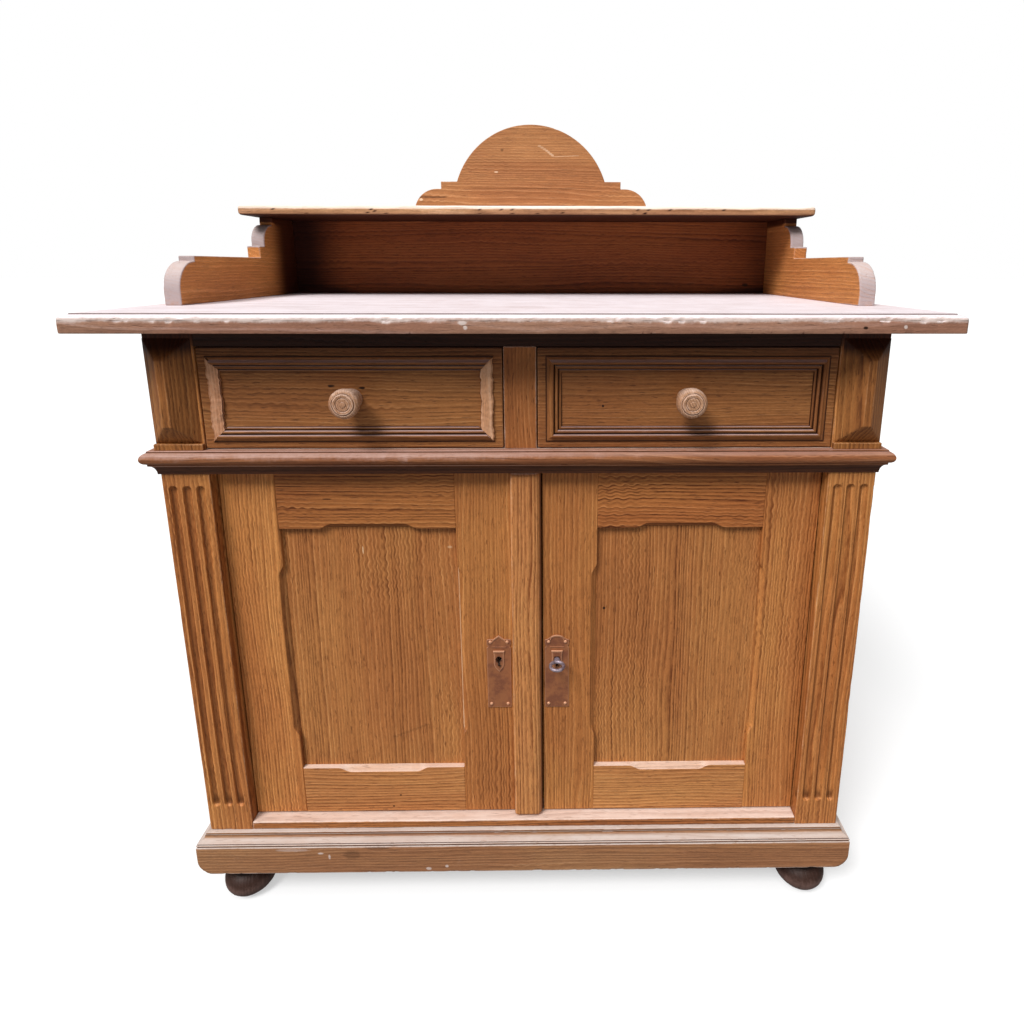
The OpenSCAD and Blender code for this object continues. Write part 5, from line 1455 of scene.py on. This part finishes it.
@dataclass
class Door(Part):
    """One panelled door: two stiles, two rails with relief edges, and a flat panel."""

    levels: Levels
    side: str
    edges: tuple[float, float, float, float]
    """Where its outer edge, the two edges of its opening and its meeting edge lie, from the sideboard's middle."""
    seed: int
    face: float = 15.0
    thick: float = 22.0
    low: float = 130.0
    high: float = 650.5
    open_low: float = 204.0
    open_high: float = 570.5
    relief: float = 6.5
    relief_from: float = 50.0
    relief_end: float = 18.0
    rows: tuple[float, ...] = (0.0, 0.015, 0.1, 0.2, 0.28, 0.3, 0.85, 1.0)

    @property
    def body(self) -> str:
        """The door's moving body."""
        return self.side + "_door"

    def relief_line(self, length: float) -> Line:
        """Distance along an edge and depth of its relief: flat ends, an S of half a cosine, and a set-back middle."""
        rise = [(self.relief_from + self.relief_end * t, self.relief * (1 - math.cos(math.pi * t)) / 2)
                for t in np.linspace(0, 1, 9)]
        fall = [(length - a, d) for a, d in rise[::-1]]
        return [(0.0, 0.0)] + rise + fall + [(length, 0.0)]

    def stile(self, inner: float, outer: float) -> Line:
        """Outline of a stile from the opening's edge to the door's edge."""
        way = 1 if outer > inner else -1
        line = [(inner + way * d, self.open_low + a) for a, d in self.relief_line(self.open_high - self.open_low)]
        return [(outer, self.high), (outer, self.low), (inner, self.low)] + line + [(inner, self.high)]

    def rail(self, x0: float, x1: float, top: bool) -> Line:
        """Outline of a rail between the stiles."""
        line = self.relief_line(x1 - x0)
        if top:
            return [(x1, self.high), (x0, self.high)] + [(x0 + a, self.open_high + d) for a, d in line]
        return [(x1, self.low), (x0, self.low)] + [(x0 + a, self.open_low - d) for a, d in line]

    def stopped(self, skin: Skin, length: float, across: int, line: float, way: int, start: float) -> None:
        """Lets the relief run out towards the panel, so that the frame's edge is straight there.

        A point at distance g into the wood from the relief line moves towards the opening by the relief's depth, times
        its share of the way from the front to the panel, times 1 - g / 20.

        Args:
            skin: the frame's piece.
            length: length of the edge.
            across: the coordinate across the edge.
            line: place of the straight edge.
            way: 1 if the wood lies on the higher side.
            start: place where the edge begins.
        """
        # Top rails' walls and the left door's hinge-stile wall get painted shade; the other walls get wear, plus a
        # painted highlight where they face the light.
        shaded = (way > 0 and across == 2) or (way < 0 and across == 0 and self.side == "left" and line < -200)
        for k, p in enumerate(skin.points):
            depth = np.interp(p[:, 2 - across] - start, *zip(*self.relief_line(length)))
            gap = way * (p[:, across] - line) - depth
            share = np.clip((p[:, 1] - self.face - 1.2) / 5.6, 0, 1) * np.clip(1 - gap / 20, 0, 1)
            p[:, across] -= way * depth * share
            wall = (gap < 0.3) * (p[:, 1] > self.face + 0.8)
            if shaded:
                skin.shade_and_dirt[k] = np.maximum(skin.shade_and_dirt[k], 0.5 * wall)
            else:
                bare = wall * np.clip(depth / 3, 0, 1) * (0.8 if across == 2 else 0.4)
                skin.worn[k] = np.maximum(skin.worn[k], bare)

    def build(self) -> None:
        """Makes the door's five wooden pieces."""
        outer, hinge, meet, inner = self.edges
        y0, y1 = self.face, self.face + self.thick

        def hinge_radius(loop: Array) -> Array:
            """A large radius along the outer edge, a small one elsewhere."""
            return np.where(np.abs(loop[:, 0] - outer) < 1.0, 8.0, 0.9)

        left, key_x, slot_z = self.side == "left", KEY_X[self.side], KEY_HEIGHT - 11.0
        hole = arc(key_x, KEY_HEIGHT, 4.6, -61, 241, 16) + [(key_x - 2.2, slot_z), (key_x + 2.2, slot_z)]
        x0, x1 = sorted((hinge, meet))
        wide, tall, low, high = x1 - x0, self.open_high - self.open_low, self.open_low, self.open_high
        parts = (("hinge_stile", self.stile(hinge, outer), Grain.UP, hinge_radius, 0.08 if left else 0.0, None,
                  (tall, 0, hinge, 1 if outer > hinge else -1, low)),
                 ("meeting_stile", self.stile(meet, inner), Grain.UP, 0.9, -0.06, hole,
                  (tall, 0, meet, 1 if inner > meet else -1, low)),
                 # The left top rail's lower tone is partly painted shade under the waist moulding.
                 ("top_rail", self.rail(x0, x1, True), Grain.ACROSS, 0.9, -0.12 if left else 0.0, None,
                  (wide, 2, high, 1, x0)),
                 ("bottom_rail", self.rail(x0, x1, False), Grain.ACROSS, 0.9, 0.08, None, (wide, 2, low, -1, x0)))
        for k, (name, outline, grain, radius, tone, cut, relief) in enumerate(parts):
            skin = Skin(f"{self.side}_door_{name}_wood", grain, self.seed + k, tone)
            add_plate(skin, outline, y0, y1, 1, radius, 0.6, 5.0, 0.8, cut, 0.6, self.rows)
            self.stopped(skin, *relief)
            if left and name == "meeting_stile":
                p, worn = skin.places(), np.concatenate(skin.worn)
                beside = (p[:, 2] > low + 6) & (p[:, 2] < high - 14)
                foot = (np.abs(p[:, 1] - y0 - 6.4) < 0.4) & beside
                ragged = 0.9 * ((np.abs(p[:, 1] - y0 - 4.4) < 0.3) & beside)
                edge = p[:, 0] < meet + 9
                skin.worn = [np.where(edge & foot, 1.9, np.where(edge, np.maximum(0.2 * worn, ragged), worn))]
            wood = {"top_rail": WAVY, "bottom_rail": STRIP}.get(name, HONEY)
            self.finish(skin, wood, "wood_honey", [f"{self.side}_door_{name}"], crease=30)
        low, high = node_box(self.side + "_door_panel")
        skin = Skin(self.side + "_door_panel_wood", Grain.UP, self.seed + 6)
        add_board(skin, low, high, 0.8, 16, 0.3)
        self.finish(skin, PANEL, "wood_honey", [self.side + "_door_panel"])


@dataclass
class MeetingStrip(Part):
    """The strip over the meeting of the doors, with rounded edges."""

    body = "left_door"
    round: float = 5.0

    def build(self) -> None:
        """A board with rounded front edges, whose right side falls back and is shaded at the edge."""
        low, high = node_box("meeting_strip")
        skin = Skin("meeting_strip_wood", Grain.UP, 131, 0.2)
        add_board(skin, low, (high[0], high[1] + 6, high[2]), self.round * 0.8, 8, 1.6)
        side = [np.clip((q[:, :1] - high[0] + 9) / 9, 0, 1) ** 2 * [0.0, 6.5, 0.0] for q in skin.points]
        skin.points = [np.minimum(q + more, [1e9, high[1], 1e9]) for q, more in zip(skin.points, side)]
        # Painted shadow along the right edge, where the strip stands proud of the right door.
        skin.shade_and_dirt = [np.clip((skin.places()[:, 0] - high[0] + 3.5) / 3, 0, 1)]
        self.finish(skin, STRIP, "wood_honey", ["meeting_strip"])


@dataclass
class Drawer(Part):
    """One drawer's front with its mitred moulding and its turned knob."""

    side: str
    seed: int
    inset: float = 10.0
    width: float = 20.0
    out: float = 6.0
    knob_radius: float = 18.0
    knob_length: float = 36.0
    knob_base: float = 13.0

    @property
    def body(self) -> str:
        """The drawer's moving body."""
        return self.side + "_drawer"

    def section(self) -> Line:
        """The moulding's section: inwards from its outer edge, and outwards from the front."""
        w, o = self.width, self.out
        cove = [(1.4 + w * 0.24 * math.sin(math.radians(a)), 1.0 + (o - 2.6) * (1 - math.cos(math.radians(a))))
                for a in range(0, 91, 18)]
        line = [(0.0, 0.0), (0.0, 1.0)] + cove + arc(w * 0.405, o - 1.9, 1.9, 150, 10, 7)
        line += [(w * 0.51, o * 0.3), (w * 0.545, o * 0.26)] + arc(w * 0.66, o * 0.33, 2.1, 165, 10, 7)
        line += [(w * 0.775, o * 0.18), (w * 0.805, o * 0.15)] + arc(w * 0.895, o * 0.12, 1.7, 160, 20, 6)
        return line + [(w, 0.3), (w, 0.0)]

    def looks(self, q: Array) -> tuple[Array, Array]:
        """Dirt and painted shade in the moulding's crevices and along both of its edges, and wear and painted
        highlights on its beads.
        """
        shade_and_grime = sum(np.exp(-((q[:, 0] - a) / b) ** 2) for a, b in ((0.6, 1.1), (10.6, 0.9), (15.8, 0.8), (19.7, 0.6)))
        return 0.45 * (q[:, 0] > 6.5), shade_and_grime

    def torn_looks(self, q: Array) -> tuple[Array, Array]:
        """Wear all over a broken strip, and a painted shadow line where it meets the front."""
        return np.full(len(q), 0.6), 0.9 * (q[:, 1] < 1.4)

    def rough_section(self) -> Line:
        """The section of a strip whose moulding has broken away: nearly flat, with ragged edges."""
        w = self.width
        return [(1.5, 0.0), (1.7, 2.6), (3.0, 3.8), (w * 0.5, 4.2), (w * 0.74, 3.8), (w * 0.84, 3.2), (w * 0.85, 0.0)]

    def knob_section(self) -> Line:
        """Radius and height of the knob over the drawer's front."""
        r, l, b = self.knob_radius, self.knob_length, self.knob_base
        neck = []
        for t in np.linspace(0, 1, 9):
            u = (1 - math.cos(math.pi * t)) / 2
            neck.append((b - 2 * math.sin(math.pi * t) + (r - b) * u * t, 2 + t * (l - 14)))
        return [(0.0, 0.05), (b, 0.05)] + neck + arc(r - 5, l - 6, 5, -20, 80, 8) + [
            (r * 0.74, l - 1.8), (r * 0.66, l), (r * 0.5, l - 0.4), (r * 0.46, l - 1.1), (r * 0.42, l - 0.5),
            (r * 0.2, l - 0.6), (r * 0.16, l - 0.05), (0.0, l - 0.05)]

    def build(self) -> None:
        """Makes the front, the moulding and the knob."""
        low, high = node_box(self.side + "_drawer_front")
        skin = Skin(self.side + "_drawer_front_wood", Grain.ACROSS, self.seed)
        add_board(skin, low, high, 1.6, 12, 1.0)
        # Painted shadow of the worktop along the front's top.
        skin.shade_and_dirt = [np.clip((skin.places()[:, 2] - high[2] + 16) / 14, 0, 0.55)]
        self.finish(skin, FRONT, "wood_honey", [self.side + "_drawer_front"])
        x0, x1 = low[0] + self.inset, high[0] - self.inset
        z0, z1 = low[2] + self.inset - 2, high[2] - self.inset
        skin = Skin(self.side + "_drawer_moulding_wood", Grain.ACROSS, self.seed + 1)
        wide, tall = x1 - x0, z1 - z0
        for origin, up in (((x0, 0, z0), 1), ((x0, 0, z1), -1)):
            add_moulding(skin, self.section(), origin, (1, 0, 0), (0, 0, up), (0, -1, 0), wide, (1, -1), 0.3, 4.0, 0.5,
                         self.looks)
        bare = self.side == "left"
        upright = Skin(self.side + "_drawer_moulding_ends", Grain.UP, self.seed + 2)
        section = self.rough_section() if bare else self.section()
        for origin, way in (((x0, 0, z0), 1), ((x1, 0, z0), -1)):
            add_moulding(upright, section, origin, (0, 0, 1), (way, 0, 0), (0, -1, 0), tall, (1, -1), 0.3, 1.5,
                         1.2 if bare else 0.5, self.torn_looks if bare else self.looks, self.ragged if bare else None)
        self.finish(skin, BEADS, "wood_honey", [self.side + "_drawer_moulding"])
        self.finish(upright, BARE if bare else BEADS, "wood_honey", [])
        low, high = node_box(self.side + "_drawer_knob")
        middle = (low + high) / 2
        skin = Skin(self.side + "_knob_wood", Grain.TURNED, self.seed + 3)
        add_turned(skin, self.knob_section(), (middle[0], 0.0, middle[2]), (0, -1, 0), 0.5, 80, 0.35)
        self.finish(skin, KNOB, "wood_worn", [self.side + "_drawer_knob"], crease=28)

    def ragged(self, p: Array) -> Array:
        """Tears a broken strip's surface: noise in two sizes lowers it."""
        tear = 0.9 * smooth_noise(p, 12.0, self.seed + 9) + 0.7 * smooth_noise(p, 3.2, self.seed + 8)
        moved = p.copy()
        moved[..., 1] = np.clip(p[..., 1] + tear * (p[..., 1] < -2.0), -5.8, -0.05)
        row = p * [0.0, 0.0, 1.0] + np.sign(p) * [50.0, 0.0, 0.0]
        moved[..., 0] += 1.3 * smooth_noise(row, 11.0, self.seed + 7) + 0.9 * smooth_noise(row, 3.4, self.seed + 6)
        return moved


@dataclass
class KeyPlate:
    """A nailed plate with a moulded crest, a raised shield and a keyhole."""

    palette: Palette
    side: str
    middle: float
    pointed: bool
    width: float = 33.0
    low: float = 303.0
    height: float = 112.0
    crest: float = 10.0
    face: float = 13.5
    wood: float = 15.0
    key_height: float = KEY_HEIGHT
    hole_radius: float = 4.2
    slot: float = 1.6
    reach: float = 11.0

    def top(self, less: float) -> Line:
        """The crest's upper line from right to left, lowered by a distance."""
        w, body = self.width / 2, self.height - self.crest
        if self.pointed:
            line = [(w - 2, body + 1), (w - 7, body + 1), (w - 9, body + 4), (0, self.height), (9 - w, body + 4),
                    (7 - w, body + 1), (2 - w, body + 1)]
        else:
            line = [(w - 2, body + 1), (w - 6, body + 1)] + arc(0, body - 6, 16, 62, 118, 8) + [
                (6 - w, body + 1), (2 - w, body + 1)]
        return [(x, z - less) for x, z in line]

    def placed(self, outline: Line, base: float) -> Line:
        """An outline moved to the plate's middle and to a height."""
        return [(self.middle + x, base + z) for x, z in outline]

    def build(self) -> None:
        """Makes the plate, the ridges on it, the shield and the nail heads."""
        w, body = self.width / 2, self.height - self.crest
        skin = Skin(self.side + "_key_plate_sheet", Grain.UP, 160 + int(self.pointed))
        hole = arc(0, 0, self.hole_radius, -68, 248, 18) + [(-self.slot, -self.reach), (self.slot, -self.reach)]
        hole = self.placed(hole, self.key_height)
        right = [(w, body - 9), (w - 2, body - 7), (w, body - 4), (w, body + 3), (w - 4, body + 4)]
        sheet = [(-w, 0), (w, 0), *right, *self.top(0)[2:-2], *[(-x, z) for x, z in right[::-1]]]
        ridge = self.top(-0.2)[1:-1] + self.top(2.4)[-2:0:-1]
        bar = [(-10, body - 8.6), (10, body - 8.6), (10, body - 7.2), (-10, body - 7.2)]
        shield = [(0, -19.5), (5.6, -12.5), (7.2, -8), (6.9, 4), (7.6, 13), (-7.6, 13), (-6.9, 4), (-7.2, -8),
                  (-5.6, -12.5)]
        brow = [(-7.4, 10.4), (7.4, 10.4), (8.0, 13.4), (-8.0, 13.4)]
        face, foot = self.face, self.face + 0.3
        for outline, base, front, rear, radius, corner, step, chip, cut, wear in (
                (sheet, self.low, face, self.wood, 0.5, 0.8, 2.5, 0.15, hole, 0.8),
                (ridge, self.low, face - 0.9, foot, 0.6, 0.4, 2.0, 0.0, None, 1.0),
                (bar, self.low, face - 0.5, foot, 0.4, 0.3, 2.0, 0.0, None, 0.5),
                (shield, self.key_height, face - 1.4, foot, 1.3, 0.5, 1.6, 0.0, hole, 1.0),
                (brow, self.key_height, face - 2.2, face, 0.8, 0.4, 2.0, 0.0, None, 1.2)):
            add_plate(skin, self.placed(outline, base), front, rear, 1, radius, corner, step, chip, cut, wear)
        dome = [(0.0, -0.4), (2.3, -0.4)] + ellipse(0, 0, 2.3, 1.7, range(0, 90, 15)) + [(0.0, 1.7)]
        for x, z in itertools.product((5 - w, w - 5), (6.0, body)):
            add_turned(skin, dome, (self.middle + x, face, self.low + z), (0, -1, 0), 0.1, 20, 0.0)
            skin.worn[-1] = np.full(len(skin.worn[-1]), 1.3)
        plate = self.palette.metal("patinated plate", srgb(160, 100, 62), srgb(132, 78, 52), 0.15, 0.5, 60.0,
                                   srgb(226, 168, 130))
        skin.build(plate, self.side + "_door", "plate_metal", [self.side + "_key_plate"])


def dress_inner_nodes(palette: Palette) -> None:
    """Gives the CAD nodes that stay in view, or inside, their materials."""
    iron = palette.metal("worn iron", srgb(92, 84, 88), srgb(58, 50, 50), 0.75, 0.5, 120.0)
    key = palette.metal("grey key", srgb(168, 154, 164), srgb(112, 98, 108), 0.6, 0.5, 150.0)
    wood = {"waist_rail": Grain.ACROSS, "foot_blocks": Grain.UP, "drawer_runners": Grain.DEEP,
            "shelf_battens": Grain.DEEP, "left_drawer_box": Grain.DEEP, "right_drawer_box": Grain.DEEP,
            "left_drawer_bottom": Grain.FLAT, "right_drawer_bottom": Grain.FLAT}
    for name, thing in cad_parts.items():
        if thing.hide_render:
            continue
        if name in wood:
            material = palette.wood(RED if name == "waist_rail" else RAW, wood[name])
        else:
            material = key if name == "key" else iron
        thing.data.materials.clear()
        thing.data.materials.append(material)


# Stage


@dataclass(frozen=True)
class PhotoCamera:
    """The camera that was fitted to the photograph, in millimetres from the post faces, degrees and pixels."""

    focal: float = 604.4
    centre_x: float = 559.9
    centre_y: float = 393.2
    yaw: float = 0.743
    pitch: float = 11.901
    roll: float = 0.087
    place: tuple[float, float, float] = (39.4, -724.2, 907.2)
    pixels: float = 1024.0

    def build(self) -> None:
        """Places the camera and makes it the scene's own."""
        yaw, pitch, roll = (math.radians(a) for a in (self.yaw, self.pitch, self.roll))
        ahead = np.array([math.sin(yaw) * math.cos(pitch), math.cos(yaw) * math.cos(pitch), -math.sin(pitch)])
        right = np.array([math.cos(yaw), -math.sin(yaw), 0.0])
        up = np.cross(right, ahead)
        across = math.cos(roll) * right + math.sin(roll) * up
        up = -math.sin(roll) * right + math.cos(roll) * up
        at = metres(self.place)
        data = bpy.data.cameras.new("photo camera")
        data.sensor_width = 36.0
        data.lens = 36.0 * self.focal / self.pixels
        data.shift_x = (self.pixels / 2 - self.centre_x) / self.pixels
        data.shift_y = (self.centre_y - self.pixels / 2) / self.pixels
        data.clip_start = 0.01
        camera = linked("photo camera", data)
        camera.matrix_world = Matrix([[across[k], up[k], -ahead[k], at[k]] for k in range(3)] + [[0, 0, 0, 1]])
        bpy.context.scene.camera = camera


@dataclass(frozen=True)
class Lamp:
    """A wide distant lamp: its strength, the direction that it comes from, and how wide it is."""

    name: str
    strength: float
    azimuth: float
    height: float
    width: float

    def build(self) -> None:
        """Places the lamp."""
        data = bpy.data.lights.new(self.name, "SUN")
        data.energy = self.strength
        data.angle = math.radians(self.width)
        a, h = math.radians(self.azimuth), math.radians(self.height)
        source = Vector((math.sin(a) * math.cos(h), -math.cos(a) * math.cos(h), math.sin(h)))
        linked(self.name, data).rotation_euler = source.to_track_quat("Z", "Y").to_euler()


WHITE = (1.0, 1.0, 1.0, 1.0)


class Studio:
    """Pale floor, white surroundings and soft light."""

    def build(self) -> None:
        """Makes the world, the floor and the lamps."""
        scene = bpy.context.scene
        scene.view_settings.view_transform = "Standard"
        world = bpy.data.worlds.new("studio")
        world.use_nodes = True
        scene.world = world
        n = Nodes(world.node_tree)
        light = world.node_tree.nodes["Background"]
        seen = n.add("ShaderNodeBackground")
        for background, strength in ((light, 0.14), (seen, 1.0)):
            background.inputs[0].default_value = WHITE
            background.inputs[1].default_value = strength
        self.split(n, light, seen, world.node_tree.nodes["World Output"])
        self.floor()
        for lamp in (Lamp("key", 2.6, -40, 50, 20), Lamp("sky", 1.9, -5, 74, 70)):
            lamp.build()

    @staticmethod
    def split(n: Nodes, lit: bpy.types.Node, seen: bpy.types.Node, output: bpy.types.Node) -> None:
        """Shows the camera one shader and gives all other light another one."""
        blend = n.add("ShaderNodeMixShader")
        n.put(blend.inputs[0], n.add("ShaderNodeLightPath").outputs["Is Camera Ray"])
        n.put(blend.inputs[1], lit.outputs[0])
        n.put(blend.inputs[2], seen.outputs[0])
        n.put(output.inputs[0], blend.outputs[0])

    def floor(self) -> None:
        """A large plane that is white to the camera and mid grey to the light that it throws back."""
        mesh = bpy.data.meshes.new("floor")
        size = 40.0
        mesh.from_pydata([(-size, -size, 0), (size, -size, 0), (size, size, 0), (-size, size, 0)], [], [(0, 1, 2, 3)])
        material = bpy.data.materials.new("pale floor")
        material.use_nodes = True
        n = Nodes(material.node_tree)
        material.node_tree.nodes.remove(material.node_tree.nodes["Principled BSDF"])
        white, grey = n.add("ShaderNodeBsdfDiffuse"), n.add("ShaderNodeBsdfDiffuse")
        white.inputs[0].default_value = WHITE
        clean, pale = n.add("ShaderNodeEmission"), n.add("ShaderNodeMixShader")
        pale.inputs[0].default_value = 0.5
        n.put(pale.inputs[1], white.outputs[0])
        n.put(pale.inputs[2], clean.outputs[0])
        grey.inputs[0].default_value = (0.26, 0.26, 0.26, 1.0)
        self.split(n, grey, pale, material.node_tree.nodes["Material Output"])
        mesh.materials.append(material)
        linked("floor", mesh)


def main() -> None:
    """Builds the sideboard's looks and the stage."""
    logging.basicConfig(level=logging.INFO, format="%(name)s: %(message)s")
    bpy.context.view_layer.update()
    palette, levels = Palette(), Levels()
    Feet(palette).build()
    Plinth(palette, levels).build()
    Carcass(palette, levels).build()
    Worktop(palette, levels).build()
    Gallery(palette, levels).build()
    Door(palette, levels, "left", (-389.0, -317.0, -87.0, 25.0), 110).build()
    Door(palette, levels, "right", (389.0, 317.0, 98.5, 26.5), 120).build()
    MeetingStrip(palette).build()
    Drawer(palette, "left", 140).build()
    Drawer(palette, "right", 150).build()
    KeyPlate(palette, "left", KEY_X["left"], True).build()
    KeyPlate(palette, "right", KEY_X["right"], False).build()
    dress_inner_nodes(palette)
    PhotoCamera().build()
    Studio().build()


if __name__ == "__main__":
    main()
